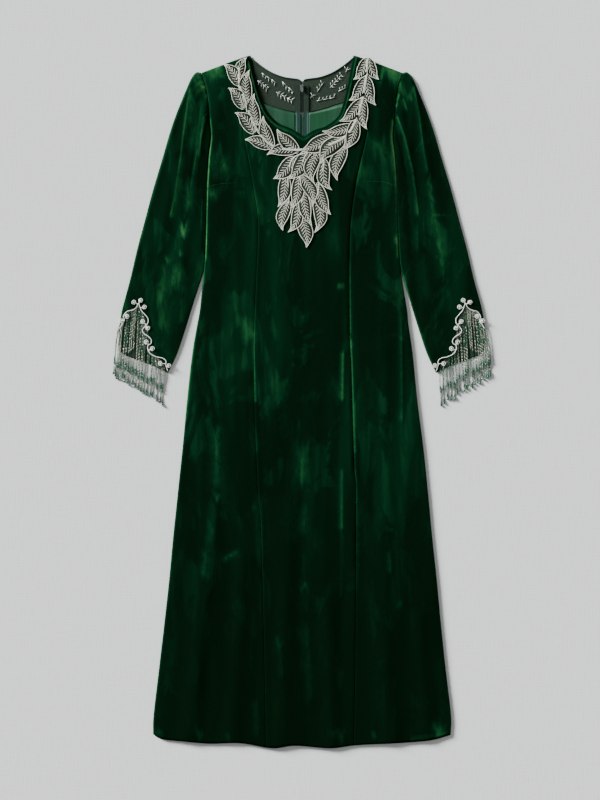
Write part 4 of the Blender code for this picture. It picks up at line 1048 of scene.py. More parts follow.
def cord_tree():
    """Round cords along lines. Each point's radius is in the attribute radius, in metres."""
    tree = Tree("cords", {"Sides": ("Int", 6)})
    line = tree.node("GeometryNodeMeshToCurve", sockets={"Mesh": tree.given("Geometry")})
    length = tree.node("GeometryNodeSplineParameter", out=1)
    line = tree.node("GeometryNodeStoreNamedAttribute", sockets={
        "Geometry": line, "Name": "along", "Value": length})
    ring = tree.node("GeometryNodeCurvePrimitiveCircle", sockets={
        "Resolution": tree.given("Sides"), "Radius": 1.0})
    turn = tree.node("GeometryNodeSplineParameter", out=0)
    ring = tree.node("GeometryNodeStoreNamedAttribute", sockets={
        "Geometry": ring, "Name": "around", "Value": turn})
    return tree.close(tree.node("GeometryNodeCurveToMesh", sockets={
        "Curve": line, "Profile Curve": ring, "Scale": tree.named("radius"), "Fill Caps": True}))


def bead_tree(round_bead):
    """A bead at each point, turned to the attribute heading, sized by size and tinted near tint."""
    tree = Tree("round_beads" if round_bead else "long_beads",
                {"Sides": ("Int", 6), "Vary": ("Float", 0.1), "Seed": ("Int", 5)})
    if round_bead:
        bead = tree.node("GeometryNodeMeshIcoSphere", sockets={"Radius": 1.0, "Subdivisions": 1})
    else:
        bead = tree.node("GeometryNodeMeshCylinder", sockets={
            "Vertices": tree.given("Sides"), "Radius": 1.0, "Depth": 2.0})
    turned = tree.node("FunctionNodeAlignRotationToVector", {"axis": "Z"},
                       {"Vector": tree.named("heading", "FLOAT_VECTOR")})
    vary = tree.maths("MULTIPLY", tree.given("Vary"), tree.random(-1.0, 1.0, 1))
    tint = tree.maths("ADD", tree.named("tint"), vary)
    tinted = tree.node("GeometryNodeStoreNamedAttribute", sockets={
        "Geometry": tree.given("Geometry"), "Name": "tint", "Value": tint})
    placed = tree.node("GeometryNodeInstanceOnPoints", sockets={
        "Points": tinted, "Instance": bead, "Rotation": turned, "Scale": tree.named("size", "FLOAT_VECTOR")})
    return tree.close(placed)


def row_tree():
    """A row of stitches along lines, a pitch apart, each a little longer or shorter."""
    tree = Tree("rows", {
        "Pitch": ("Float", 0.003), "Half Length": ("Float", 0.001), "Radius": ("Float", 0.0003),
        "Vary": ("Float", 0.1), "Sides": ("Int", 6), "Seed": ("Int", 5)})
    line = tree.node("GeometryNodeMeshToCurve", sockets={"Mesh": tree.given("Geometry")})
    points = tree.node("GeometryNodeCurveToPoints", {"mode": "LENGTH"},
                       {"Curve": line, "Length": tree.given("Pitch")})
    turned = tree.node("FunctionNodeAlignRotationToVector", {"axis": "Z"},
                       {"Vector": points.node.outputs["Tangent"]})
    vary = tree.given("Vary")
    share = tree.random(tree.maths("SUBTRACT", 1.0, vary), tree.maths("ADD", 1.0, vary), 2)
    size = tree.node("ShaderNodeCombineXYZ", sockets={
        "X": tree.given("Radius"), "Y": tree.given("Radius"),
        "Z": tree.maths("MULTIPLY", tree.given("Half Length"), share)})
    shape = tree.node("GeometryNodeMeshCylinder", sockets={
        "Vertices": tree.given("Sides"), "Radius": 1.0, "Depth": 2.0})
    return tree.close(tree.node("GeometryNodeInstanceOnPoints", sockets={
        "Points": points, "Instance": shape, "Rotation": turned, "Scale": size}))


def add_object(name, mesh, finish=None):
    made = bpy.data.objects.new(name, mesh)
    bpy.context.scene.collection.objects.link(made)
    if finish:
        mesh.materials.append(finish)
    return made


def give(mesh, name, values, kind="FLOAT"):
    """Stores an attribute on a mesh's points."""
    kept = mesh.attributes.new(name, kind, "POINT")
    kept.data.foreach_set("value" if kind == "FLOAT" else "vector", np.ravel(values).astype(np.float32))


def lines_object(paths, radii=None, nap_and_painted_light=None):
    """A mesh of open lines, in millimetres, with each line's radius, and its pile marks and painted light, as
    attributes.
    """
    points, edges, widths = [], [], []
    for i, path in enumerate(paths):
        start = len(points)
        points += [tuple(p) for p in np.asarray(path, float) * MM]
        edges += [(start + k, start + k + 1) for k in range(len(path) - 1)]
        if radii is not None:
            widths += list(np.broadcast_to(np.asarray(radii[i], float) * MM, len(path)))
    mesh = bpy.data.meshes.new("lines")
    mesh.from_pydata(points, edges, [])
    if radii is not None:
        give(mesh, "radius", widths)
    if nap_and_painted_light is not None:
        give(mesh, "nap_and_painted_light", [nap_and_painted_light] * len(points))
    return add_object("lines", mesh)


def points_object(spots):
    """A mesh of loose points, from rows of place, heading and size in millimetres, and tint."""
    places, headings, sizes, tints = zip(*spots)
    mesh = bpy.data.meshes.new("points")
    mesh.from_pydata((np.array(places, float) * MM).tolist(), [], [])
    give(mesh, "heading", headings, "FLOAT_VECTOR")
    give(mesh, "size", np.array(sizes, float) * MM, "FLOAT_VECTOR")
    give(mesh, "tint", tints)
    return add_object("points", mesh)


def grown(source, tree, values, name):
    """The plain mesh that a tree makes from an object, which is then removed."""
    live = source.modifiers.new("grow", "NODES")
    live.node_group = tree.group
    for label, value in values.items():
        live[tree.labels[label]] = value
    source.update_tag()
    bpy.context.view_layer.update()
    graph = bpy.context.evaluated_depsgraph_get()
    mesh = bpy.data.meshes.new_from_object(source.evaluated_get(graph))
    bpy.data.objects.remove(source)
    mesh.name = name
    return add_object(name, mesh)


def corded(name, paths, radii, finish, sides=6, nap_and_painted_light=None):
    """Round cords along paths, as one piece."""
    return grown(lines_object(paths, radii, nap_and_painted_light), cords, {"Sides": sides, "Material": finish}, name)


def beaded(name, spots, tree, finish, seed, vary=0.1):
    """A bead at each spot, as one piece."""
    return grown(points_object(spots), tree, {"Vary": vary, "Seed": seed, "Material": finish}, name)


def grid_mesh(name, points, finish, backing=None, nap_and_painted_light=None, closed=False):
    """A mesh through a grid of points in millimetres, facing up, smooth, with an attribute of pile marks and
    painted light.
    """
    count, columns = points.shape[:2]
    across = columns if closed else columns - 1
    i, j = np.meshgrid(np.arange(count - 1), np.arange(across), indexing="ij")
    k = (j + 1) % columns
    faces = np.stack([i * columns + j, i * columns + k, (i + 1) * columns + k, (i + 1) * columns + j], -1)
    mesh = bpy.data.meshes.new(name)
    mesh.from_pydata((points.reshape(-1, 3) * MM).tolist(), [], faces.reshape(-1, 4).tolist())
    if mesh.polygons[(across * (count // 2)) + (columns // 4 if closed else columns // 2)].normal.z < 0:
        mesh.flip_normals()
    mesh.shade_smooth()
    if nap_and_painted_light is not None:
        give(mesh, "nap_and_painted_light", nap_and_painted_light)
    made = add_object(name, mesh, finish)
    if backing:
        mesh.materials.append(backing)
    return made


def turn_up(mesh):
    """Turns each face up that looks down."""
    shape = bmesh.new()
    shape.from_mesh(mesh)
    bmesh.ops.reverse_faces(shape, faces=[face for face in shape.faces if face.normal.z < 0])
    shape.to_mesh(mesh)
    shape.free()


def give_wall(made, thickness):
    """Thickens a cloth downwards. A second material, where there is one, lines it."""
    wall = made.modifiers.new("wall", "SOLIDIFY")
    wall.thickness = thickness * MM
    wall.offset = -1.0
    wall.use_even_offset = False
    wall.material_offset = len(made.data.materials) - 1
    return made


def with_height(flat, height):
    return np.concatenate([flat, np.broadcast_to(height, flat.shape[:2])[..., None]], axis=2)


def cloth_area(points):
    """Area of a grid of points, in square metres."""
    a = points[1:, 1:] - points[:-1, :-1]
    b = points[1:, :-1] - points[:-1, 1:]
    return float(np.linalg.norm(np.cross(a, b), axis=2).sum() / 2) * MM * MM


def stand_for(made, slot, *nodes):
    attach(made, BODY)
    if nodes:
        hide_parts(*nodes)
    return made


def lay(name, node, slot, flat, height, thickness, finish, backing=None, nap_and_painted_light=None):
    """A sheet in place of a cloth solid, with its area, width and length in metres."""
    points = with_height(flat, height)
    panel = give_wall(grid_mesh(name, points, finish, backing, nap_and_painted_light), thickness)
    stand_for(panel, slot, node)
    return panel, cloth_area(points), np.ptp(flat[..., 0]) * MM, np.ptp(flat[..., 1]) * MM


def seam_rows(points, gap):
    return shifted(points_in_two(points, UNDERARM_Y, SKIRT_ROWS, ARM_ROWS), gap)


def hem_between(x_from, x_to, columns):
    xs = x_from + (x_to - x_from) * columns
    return np.column_stack([xs, np.interp(xs, HEM_PATH[:, 0], HEM_PATH[:, 1])])


def edged_columns(count):
    """Fractions across a panel, closer together at its edges."""
    even = np.linspace(0, 1, count)
    return 0.55 * even + 0.45 * (0.5 - 0.5 * np.cos(math.pi * even))


def front_panels():
    """The flat points of the three front panels, from the hem up."""
    half = SEAM_GAP / 2
    left = seam_rows(LEFT_LONG_SEAM, half)
    right = seam_rows(RIGHT_LONG_SEAM, -half)
    neck_half = NECK_COLUMNS // 2
    top = join(
        even_points([left[-1], FRONT_NECK_LEFT[0]], STRAP_COLUMNS + 1),
        smooth_points(FRONT_NECK_LEFT, neck_half + 1), smooth_points(FRONT_NECK_RIGHT, neck_half + 1),
        even_points([FRONT_NECK_RIGHT[-1], right[-1]], STRAP_COLUMNS + 1),
    )
    bottom = hem_between(left[0, 0], right[0, 0], np.linspace(0, 1, len(top)))
    left[0], right[0] = bottom[0], bottom[-1]
    panels = {"front_centre": patch(bottom, top, left, right)}
    for (side, word), seam in zip(SIDES, (LEFT_LONG_SEAM, RIGHT_LONG_SEAM)):
        inner = seam_rows(seam, side * half)
        outer = shifted(join(smooth_points(side_points(side), SKIRT_ROWS + 1),
                             mirrored(smooth_points(ARMHOLE, ARM_ROWS + 1), side)), -side * half)
        columns = edged_columns(SIDE_COLUMNS)
        bottom = hem_between(inner[0, 0], outer[0, 0], columns)
        inner[0], outer[0] = bottom[0], bottom[-1]
        top = inner[-1] + (outer[-1] - inner[-1]) * columns[:, None]
        panels["front_side_" + word] = patch(bottom, top, inner, outer, columns)
    return panels


def make_fronts():
    made = {}
    for node, flat in front_panels().items():
        x, y = flat[..., 0], flat[..., 1]
        made[node] = lay(node.replace("front", "velvet_front"), node, "green_velvet", flat,
                         front_height(x, y), CLOTH, velvet, satin, front_nap_and_painted_light(x, y))
    return made


def make_backs():
    made = {}
    half = SEAM_GAP / 2
    yoke_step = int(round(ARM_ROWS * YOKE_ARM_SHARE))
    arm = smooth_points(ARMHOLE, ARM_ROWS + 1)
    for side, word in SIDES:
        outer = shifted(join(smooth_points(side_points(side), SKIRT_ROWS + 1),
                             mirrored(arm[: yoke_step + 1], side)), -side * (half + BACK_PAST_SEAM))
        seam = mirrored(smooth_points(YOKE_SEAM + (tuple(arm[yoke_step]),), BACK_COLUMNS), side)
        top = seam - (0, half)
        top[0, 0] = side * half
        top[-1] = outer[-1]
        inner = join(even_points([(side * half, CENTRE_HEM_Y), (side * half, UNDERARM_Y)], SKIRT_ROWS + 1),
                     even_points([(side * half, UNDERARM_Y), top[0]], yoke_step + 1))
        bottom = hem_between(inner[0, 0], outer[0, 0], np.linspace(0, 1, len(top)))
        inner[0], outer[0] = bottom[0], bottom[-1]
        flat = patch(bottom, top, inner, outer)[::2]
        x, y = flat[..., 0], flat[..., 1]
        creases = soft_lines(x, y, BACK_CREASES)
        low = creases + BACK_LOWEST + waves(x, y, *BACK_WAVES) + ridge(x, *BACK_RIDGE)
        height = np.clip(low, 0.0, BACK_HIGHEST) * ramp(side_gap(x, y), 0, BACK_EDGE) + CLOTH
        # Painted highlights on the creases' tops and along the middle of the back
        nap_and_painted_light = BACK_CREASE_HIGHLIGHT * creases + ridge(np.abs(x), *BACK_MIDDLE_HIGHLIGHT)
        made[word] = lay("velvet_back_" + word, "back_" + word, "green_velvet", flat,
                         height, CLOTH, satin, velvet, nap_and_painted_light)
    return made


def make_yokes():
    made = {}
    half = SEAM_GAP / 2
    arm = smooth_points(ARMHOLE, YOKE_COLUMNS + 1)
    start = int(round(YOKE_COLUMNS * YOKE_ARM_SHARE))
    for side, word in SIDES:
        seam = mirrored(smooth_points(YOKE_SEAM + (tuple(arm[start]),), YOKE_COLUMNS), side)
        low = seam + (0, half)
        low[0, 0] = side * half
        outer = even_points(shifted(mirrored(arm[start:], side), -side * half), YOKE_ROWS)
        outer[0] = low[-1] = outer[0] + (0, half)
        neck = smooth_points(mirrored(BACK_NECK, side), YOKE_NECK_COLUMNS)[::-1]
        neck[0, 0] = side * half
        shoulder = [mirrored([NECK_POINT], side)[0], outer[-1]]
        top = join(neck, even_points(shoulder, YOKE_COLUMNS - YOKE_NECK_COLUMNS + 1))
        flat = patch(low, top, even_points([low[0], top[0]], YOKE_ROWS), outer)
        x, y = flat[..., 0], flat[..., 1]
        height = NET_Z + waves(x, y, *YOKE_WAVES) + 0.15 * np.sin(y / 9.0)
        made[word] = lay("net_yoke_" + word, "yoke_" + word, "grey_green_net", flat, height, NET_CLOTH, net)
    return made


def make_linings():
    made = {}
    seam = smooth_path(YOKE_SEAM)
    for side, word in SIDES:
        outer = mirrored(smooth_points(LINING_OUTER, LINING_ROWS), side)
        xs = np.linspace(LINING_INNER_X, abs(outer[-1, 0]), LINING_COLUMNS)
        top = np.column_stack([side * xs, np.interp(xs, seam[:, 0], seam[:, 1]) - LINING_BELOW_SEAM])
        outer[-1] = top[-1]
        corner = (side * LINING_INNER_X, LINING_BOTTOM_Y)
        flat = patch(even_points([corner, outer[0]], LINING_COLUMNS), top,
                     even_points([corner, top[0]], LINING_ROWS), outer)
        x, y = flat[..., 0], flat[..., 1]
        below = np.interp(np.abs(x), seam[:, 0], seam[:, 1]) - y
        height = LINING_Z + waves(x, y, *LINING_WAVES) - rolled(below, *LINING_ROLL)
        height = height + ridge(below, *LINING_RIDGE)
        made[word] = lay("satin_lining_" + word, "lining_" + word, "green_satin", flat,
                         height, SATIN_CLOTH, satin)
    return made


def left_of(path):
    """The direction to the left of a path at each of its points."""
    ahead = np.gradient(path, axis=0)
    return np.column_stack([-ahead[:, 1], ahead[:, 0]]) / np.linalg.norm(ahead, axis=1)[:, None]


def make_neck_facing():
    """The turned-in neck edge of the front, which shows as a narrow band inside the opening."""
    path = by_step(NECK, TRIM_STEP)
    offs = np.linspace(*NECK_FACING, FACING_COLUMNS)
    flat = path[:, None] + left_of(path)[:, None] * offs[None, :, None]
    edge = front_base(path[:, 0], path[:, 1])[:, None] - WALL
    sunk = 0.35 + 0.9 * ramp(offs, *FACING_SINKS)
    height = np.maximum(edge - sunk[None] * np.clip(edge - 2.2, 0.2, 1.0), FACING_LOWEST)
    # A painted highlight along the band
    nap_and_painted_light = np.broadcast_to(0.02 + ridge(offs, *FACING_HIGHLIGHT), height.shape)
    facing = grid_mesh("neck_facing", with_height(flat, height), velvet, nap_and_painted_light=nap_and_painted_light)
    return stand_for(give_wall(facing, FACING_CLOTH), "green_velvet")


def notch_points(side):
    rise = NOTCH_STEPS // 3
    return join(smooth_points(mirrored(NOTCH_RISE, side), rise + 1),
                smooth_points(mirrored(NOTCH_FALL, side), NOTCH_STEPS - rise + 1))


def sleeve_points(side):
    """The flat points of a sleeve's upper and under layer, from the armhole to the cuff."""
    arm = shifted(mirrored(smooth_points(ARMHOLE, SLEEVE_COLUMNS)[::-1], side), side * SEAM_GAP / 2)
    across = edged_columns(SLEEVE_COLUMNS)
    rows = (np.arange(SLEEVE_ROWS) / (SLEEVE_ROWS - 1)) ** 1.15
    outer = at_fractions(smooth_path(mirrored(SLEEVE_OUTER, side)), rows)
    beside = [(side * (edge_x(y, side) + BODY_TO_SLEEVE), y)
              for y in np.linspace(UNDERARM_Y, SLEEVE_LEAVES_BODY_Y, 5)]
    inner = at_fractions(smooth_path(np.vstack([beside, mirrored(SLEEVE_INNER, side)])), rows)
    outer[0], inner[0] = arm[0], arm[-1]
    notch = at_fractions(notch_points(side), across)
    under = at_fractions(smooth_path(mirrored(UNDER_HEM, side)), across)
    arm = at_fractions(arm, across)
    upper = patch(outer, inner, arm, notch, rows).transpose(1, 0, 2)
    lower = patch(outer, inner, arm, under, rows).transpose(1, 0, 2)
    return upper, lower


def make_sleeve(side, word, marks):
    """A flattened sleeve as one closed tube, with its area, girth and length in metres."""
    upper, lower = sleeve_points(side)
    middle = WALL + SLEEVE_GAP / 2

    def inside(layer):
        """Distance inwards from the nearer side edge of a layer."""
        steps = np.linalg.norm(np.diff(layer, axis=1), axis=2)
        along = np.concatenate([np.zeros((len(layer), 1)), np.cumsum(steps, axis=1)], axis=1)
        return np.minimum(along, along[:, -1:] - along)

    def rounded(layer, radius):
        return np.sqrt(1 - (1 - np.clip(inside(layer) / radius, 0, 1)) ** 2)

    x, y = np.abs(upper[..., 0]), upper[..., 1]
    folds = [row[1:] for row in SLEEVE_FOLDS + SLEEVE_CREASES if row[0] == side]
    relief = SLEEVE_RELIEF * soft_lines(x, y, folds) + waves(side * x, y, *SLEEVE_WAVES[side])
    height = SLEEVE_TOP + relief * ramp(distance_to(notch_points(side), side * x, y), *CUFF_CALM)
    from_seam = np.linalg.norm(upper - upper[:1], axis=2)
    round_arm = lengths_along(upper[0])[None]
    cap = ramp(y, *CAP_FROM)
    puckers = np.sin(round_arm * math.tau / PUCKER_STEP + 2.2 * np.sin(round_arm / 13) + 0.06 * from_seam)
    puckers = puckers * (0.45 + 0.55 * np.sin(round_arm / 9 + 1.2 * side))
    height = height + PUCKER_HEIGHT * cap * puckers * np.exp(-from_seam / PUCKER_REACH) * ease(from_seam / 3)
    height = height + ridge(from_seam, *CAP_GROOVE)
    top = middle + (height - middle) * rounded(upper, SLEEVE_EDGE_ROUND)
    low = middle * (1 - rounded(lower, UNDER_EDGE_ROUND))
    loops = np.concatenate([with_height(upper, top), with_height(lower, low)[:, -2:0:-1]], axis=1)
    inward = [(abs(x0), y0, abs(x1), y1, width, strength) for x0, y0, x1, y1, width, strength in marks]
    # Brushed nap with painted highlights and shade, painted highlights on the puckers' crests and along the
    # side edges, and uneven nap below
    nap_and_painted_light = marks_and_painted_light(x, y, inward, 0.9, (0.5, 0.3), 95)
    nap_and_painted_light = nap_and_painted_light + PUCKER_HIGHLIGHT * cap * np.clip(puckers, 0, 1) * np.exp(-from_seam / PUCKER_HIGHLIGHT_REACH)
    nap_and_painted_light = nap_and_painted_light + ridge(inside(upper), *SLEEVE_SIDE_HIGHLIGHT)
    under_nap = waves(lower[..., 0], lower[..., 1], *UNDER_SLEEVE_NAP)
    nap_and_painted_light = np.concatenate([nap_and_painted_light, under_nap[:, -2:0:-1]], axis=1)
    tube = grid_mesh("velvet_sleeve_" + word, loops, velvet, sleeve_satin, nap_and_painted_light, closed=True)
    sleeve = stand_for(give_wall(tube, CLOTH), "green_velvet", "sleeve_" + word)
    area = cloth_area(with_height(upper, top)) + cloth_area(with_height(lower, low))
    girth = 2 * np.linalg.norm(upper[0, -1] - upper[0, 0]) * MM
    return sleeve, area, girth, np.ptp(lower[..., 1]) * MM


def surface_of(*objects):
    """A tree of the outer faces of these pieces."""
    points, faces = [], []
    for made in objects:
        start = len(points)
        points += [vertex.co.copy() for vertex in made.data.vertices]
        faces += [[start + i for i in face.vertices] for face in made.data.polygons]
    return BVHTree.FromPolygons(points, faces)


def height_on(tree, x, y, otherwise=None):
    hit = tree.ray_cast(Vector((x * MM, y * MM, 1.0)), Vector((0, 0, -1)))[0]
    if hit:
        return hit.z / MM
    return float(front_base(np.array(x), np.array(y))) if otherwise is None else otherwise


def broken(spots, hidden):
    """The runs of a line that aren't hidden."""
    found, run = [], []
    for spot, away in zip(spots, hidden):
        if away:
            found.append(run)
            run = []
        else:
            run.append(spot)
    return [run for run in found + [run] if len(run) > 1]


def make_darts(tree):
    """The fine line of each dart, where the velvet meets itself, with a painted highlight along it."""
    paths, radii = [], []
    for dart in DARTS:
        line = by_step(smooth_path(dart), 3.0)
        paths.append([(x, y, height_on(tree, x, y) - 0.1) for x, y in line])
        radii.append(DART_CORD * np.sqrt(np.linspace(1.0, 0.1, len(line))))
    return stand_for(corded("dart_seams", paths, radii, velvet, nap_and_painted_light=DART_HIGHLIGHT), "green_velvet")


class Leaf:
    """A pointed leaf. Its middle bulges to one side and its tip hooks to the other."""

    def __init__(self, tree, row, number):
        x0, y0, x1, y1, width, bulge = row
        self.tree = tree
        self.width = width * LEAF_FULLER
        run = np.array((x1 - x0, y1 - y0), float) * (1 + LEAF_FOOT)
        self.start = np.array((x1, y1), float) - run
        self.length = float(np.linalg.norm(run))
        self.way = run / self.length
        self.bulge = (abs(bulge) + LEAF_HOOK) * self.length
        self.side = np.array((-self.way[1], self.way[0])) * math.copysign(1, bulge)
        self.lift = LEAF_BASE + LEAF_STEP * (number % LEAF_LEVELS)

    def half(self, along, across):
        """The half width at a fraction of the length, on the side that across names by its sign."""
        slender = float(ramp(along, LEAF_SLENDER_FROM, 1))
        blunt = LEAF_BLUNT + (1 - LEAF_BLUNT) * slender
        full = max(math.sin(math.pi * min(along, 1.0) ** LEAF_FULLEST), 0.0) ** blunt
        hollow = float(ramp(along, LEAF_HOLLOW_FROM, 1))
        return self.width / 2 * full * (1 - hollow * (LEAF_HOLLOW if across < 0 else LEAF_OTHER_HOLLOW))

    def middle(self, along):
        return self.bulge * math.sin(math.pi * along ** LEAF_BEND)

    def covers(self, spot, along):
        """Whether it hides a spot of another leaf. Where two overlap, the one nearer its tip is on top."""
        off = np.array(spot[:2]) - self.start
        own = float(off @ self.way) / self.length
        if own <= max(along, 0.0) or own >= 1.0:
            return False
        aside = float(off @ self.side) - self.middle(own)
        return abs(aside) < self.half(own, aside)

    def place(self, along, across, rise=0.0):
        """A point at a fraction of the length and of the half width, above the cloth."""
        off = across * self.half(along, across) + self.middle(along)
        spot = self.start + self.way * along * self.length + self.side * off
        crown = LEAF_CROWN * (1 - across * across) * max(math.sin(math.pi * along), 0.0) ** 0.5
        return spot[0], spot[1], height_on(self.tree, *spot) + self.lift + crown + rise

    def runs(self, marks, others):
        """Lines through marks of along, across and rise, broken where another leaf lies on top."""
        spots = [self.place(*mark) for mark in marks]
        return broken(spots, [any(other.covers(spot, mark[0]) for other in others)
                              for spot, mark in zip(spots, marks)])

    def rim(self):
        steps = np.linspace(0.02, 1.0, RIM_STEPS)
        return [(a, 1.0, RIM_RISE) for a in steps] + [(a, -1.0, RIM_RISE) for a in steps[-2::-1]]

    def vein(self):
        return [(a, 0.0, 0.1) for a in np.linspace(0.0, VEIN_REACH, VEIN_STEPS)]

    def herringbone(self, side):
        """Single stitches that lean towards the tip."""
        near, far = HERRINGBONE_SPAN
        low, middle, high = HERRINGBONE_RISES
        lean = HERRINGBONE_LEAN / self.length
        starts = np.linspace(*HERRINGBONE_STARTS, int(0.8 * self.length / HERRINGBONE_STEP))
        return [[(a, side * near, low), (min(a + lean / 2, 0.93), side * (near + far) / 2, middle),
                 (min(a + lean, 0.95), side * far, high)] for a in starts]

    def net_points(self):
        across = np.linspace(-LEAF_NET_HALF, LEAF_NET_HALF, LEAF_COLUMNS)
        return np.array([[self.place(a, v) for v in across] for a in np.linspace(*LEAF_REACH, LEAF_ROWS)])


def braid(tree, points, strands, sway, pitch):
    """Cords that cross over and under each other along a stem."""
    path = by_step(smooth_path(points), BRAID_STEP)
    along = lengths_along(path)
    heights = np.array([height_on(tree, *spot) for spot in path]) + LEAF_BASE + BRAID_RISE
    found = []
    for k in range(strands):
        turn = math.tau * (along / pitch + k / strands)
        spots = path + left_of(path) * (sway * np.sin(turn))[:, None]
        found.append(np.column_stack([spots, heights + BRAID_CROSSING * np.sin(2 * turn)]))
    return found


def leaf_ground(leaves, others):
    """The net of the leaves, left out where another leaf lies on top."""
    points, faces = [], []
    for leaf in leaves:
        start = len(points)
        grid = leaf.net_points()
        points += (grid.reshape(-1, 3) * MM).tolist()
        for i in range(LEAF_ROWS - 1):
            for j in range(LEAF_COLUMNS - 1):
                middle = grid[i: i + 2, j: j + 2].mean(axis=(0, 1))
                if not any(other.covers(middle, (i + 0.5) / LEAF_ROWS) for other in others[leaf]):
                    a = start + i * LEAF_COLUMNS + j
                    faces.append((a, a + 1, a + LEAF_COLUMNS + 1, a + LEAF_COLUMNS))
    mesh = bpy.data.meshes.new("leaf_net")
    mesh.from_pydata(points, [], faces)
    turn_up(mesh)
    mesh.shade_smooth()
    ground = give_wall(add_object("leaf_net", mesh, leaf_net), LEAF_CLOTH)
    return stand_for(ground, "pale_silver_cord", "leaf_applique")


def stem_cords(tree, leaves):
    """The braided stems, where no leaf covers them."""
    paths, radii = [], []
    for number, points in enumerate(STEMS):
        wide = number < WIDE_STEMS
        strands, size, sway, pitch = WIDE_BRAID if wide else NARROW_BRAID
        shows = WIDE_SHOWS if wide else NARROW_SHOWS
        for line in braid(tree, points, strands, sway, pitch):
            found = broken(line, [any(leaf.covers(spot, shows) for leaf in leaves) for spot in line])
            paths += found
            radii += [size] * len(found)
    return corded("stem_cords", paths, radii, cord)


def make_applique(tree):
    """Net leaves under a rim cord, a vein and herringbone stitches, on braided stems."""
    leaves = [Leaf(tree, row, i) for i, row in enumerate(LEAVES)]
    others = {leaf: [other for other in leaves if other is not leaf and
                     np.linalg.norm(other.start - leaf.start) < LEAF_NEAR] for leaf in leaves}
    ground = leaf_ground(leaves, others)
    edges, paths, radii = [], [], []
    for leaf in leaves:
        edges += leaf.runs(leaf.rim(), others[leaf])
        stitches = [(marks, HERRINGBONE_CORD) for marks in leaf.herringbone(-1) + leaf.herringbone(1)]
        for marks, size in [(leaf.vein(), VEIN_CORD)] + stitches:
            found = leaf.runs(marks, others[leaf])
            paths += found
            radii += [size] * len(found)
    trims = [corded("leaf_rims", edges, [RIM_CORD] * len(edges), cord, 8),
             corded("leaf_stitching", paths, radii, thread, 5), stem_cords(tree, leaves)]
    for trim in trims:
        stand_for(trim, "pale_silver_cord")
    return [ground] + trims


def rope(path, phase=0.0, size=1.0):
    """The strands of a twisted rope along a path, as lines."""
    path = by_step(path, ROPE_STEP)
    along = lengths_along(path)
    ahead = np.gradient(path, axis=0)
    ahead /= np.linalg.norm(ahead, axis=1)[:, None]
    aside = np.cross(ahead, (0, 0, 1))
    aside /= np.linalg.norm(aside, axis=1)[:, None]
    up = np.cross(aside, ahead)
    strands = []
    for k in range(ROPE_STRANDS):
        turn = (along / (ROPE_PITCH * size) + phase + k / ROPE_STRANDS) * math.tau
        around = np.cos(turn)[:, None] * aside + np.sin(turn)[:, None] * up
        strands.append(path + around * ROPE_OFFSET * size)
    return strands


def make_scroll(side, word):
    """The rope round a cuff's notch, with coiled ends and a pearl in each coil."""
    base = SLEEVE_TOP + SCROLL_RISE
    route = smooth_path(mirrored(SCROLL, side), 12)
    strands = rope(np.column_stack([route, np.full(len(route), base + SCROLL_RADIUS)]))
    radii = [ROPE_STRAND] * len(strands)
    pearls = []
    steps = np.linspace(0, 1, ROSETTE_STEPS)
    for number, (x, y) in enumerate(mirrored(ROSETTES, side)):
        near = route[np.argmin(np.linalg.norm(route - (x, y), axis=1))]
        away = math.atan2(near[1] - y, near[0] - x)
        hand = side if number % 2 else -side
        turns = away + hand * steps * ROSETTE_TURNS * math.tau
        reach = (ROSETTE_RADIUS - 1.0) * (1 - 0.4 * steps ** 2)
        coil = np.column_stack([x + reach * np.cos(turns), y + reach * np.sin(turns), base + 1 + 0.5 * steps])
        lead = np.array([(near[0], near[1], base + SCROLL_RADIUS), tuple(coil[0])])
        ropes = rope(np.vstack([even_points(lead, 4)[:-1], coil]), 0.1 * number, ROSETTE_ROPE)
        strands += ropes
        radii += [ROPE_STRAND * ROSETTE_ROPE] * len(ropes)
        pearls.append(((x, y, base + PEARL_RISE), (0, 0, 1), PEARL, 0.5))
    scroll = corded("cuff_rope_" + word, strands, radii, white_cord)
    stand_for(scroll, "pale_silver_cord", "cuff_scroll_" + word)
    centres = beaded("rosette_pearls_" + word, pearls, round_beads, white_cord, 3)
    return [scroll, stand_for(centres, "pale_silver_cord")]


def strand_lines(side):
    """The line of each bead strand, from its root at the notch to its end on the floor."""
    random = np.random.default_rng(60 + side)
    edge = notch_points(side)
    order = np.argsort(edge[:, 0])
    hem = smooth_path(mirrored(UNDER_HEM, side))
    first, last = (mirrored([end], side)[0] for end in STRAND_ENDS)
    steps = np.linspace(0, 1, STRAND_STEPS)
    found = []
    for k in range(STRANDS):
        share = (k / (STRANDS - 1)) ** STRANDS_CROWD
        root_x = side * (STRAND_ROOTS[0] + (STRAND_ROOTS[1] - STRAND_ROOTS[0]) * share)
        root_y = float(np.interp(root_x, edge[order, 0], edge[order, 1])) - STRIP_GAP
        bunched = ((k // 2 * 2 + 0.5 + (k % 2 - 0.5) * BUNCHING) / (STRANDS - 1)) ** STRANDS_CROWD
        if k % 2 == 0:
            pair_end = random.normal(0, PAIR_END_SPREAD, 2)
            pair_sway = random.normal(0, PAIR_SWAY, 2)
        end = first * (1 - bunched) + last * bunched + pair_end + random.normal(0, STRAND_APART, 2)
        sways = pair_sway + random.normal(0, STRAND_APART, 2)
        hem_y = hem[np.abs(hem[:, 0] - root_x) < HEM_REACH, 1].min()
        over = np.clip((root_y - hem_y + STRAND_PAST_HEM) / (root_y - end[1]), *STRAND_BEND_RANGE)
        sway = sways[0] * np.sin(math.pi * steps) + 0.5 * sways[1] * np.sin(math.tau * steps)
        spread = side * STRAND_SPREAD * (1 - share) ** 4 * np.sin(math.pi * steps ** 0.6)
        x = root_x + (end[0] - root_x) * steps + sway + spread
        y = root_y + (end[1] - root_y) * steps
        fall = ease((steps - over) / (1 - over) * 1.3)
        z = np.where(steps < over, STRAND_Z, STRAND_Z + (STRAND_LOW_Z - STRAND_Z) * fall)
        found.append(np.column_stack([x, y, z]))
    return found


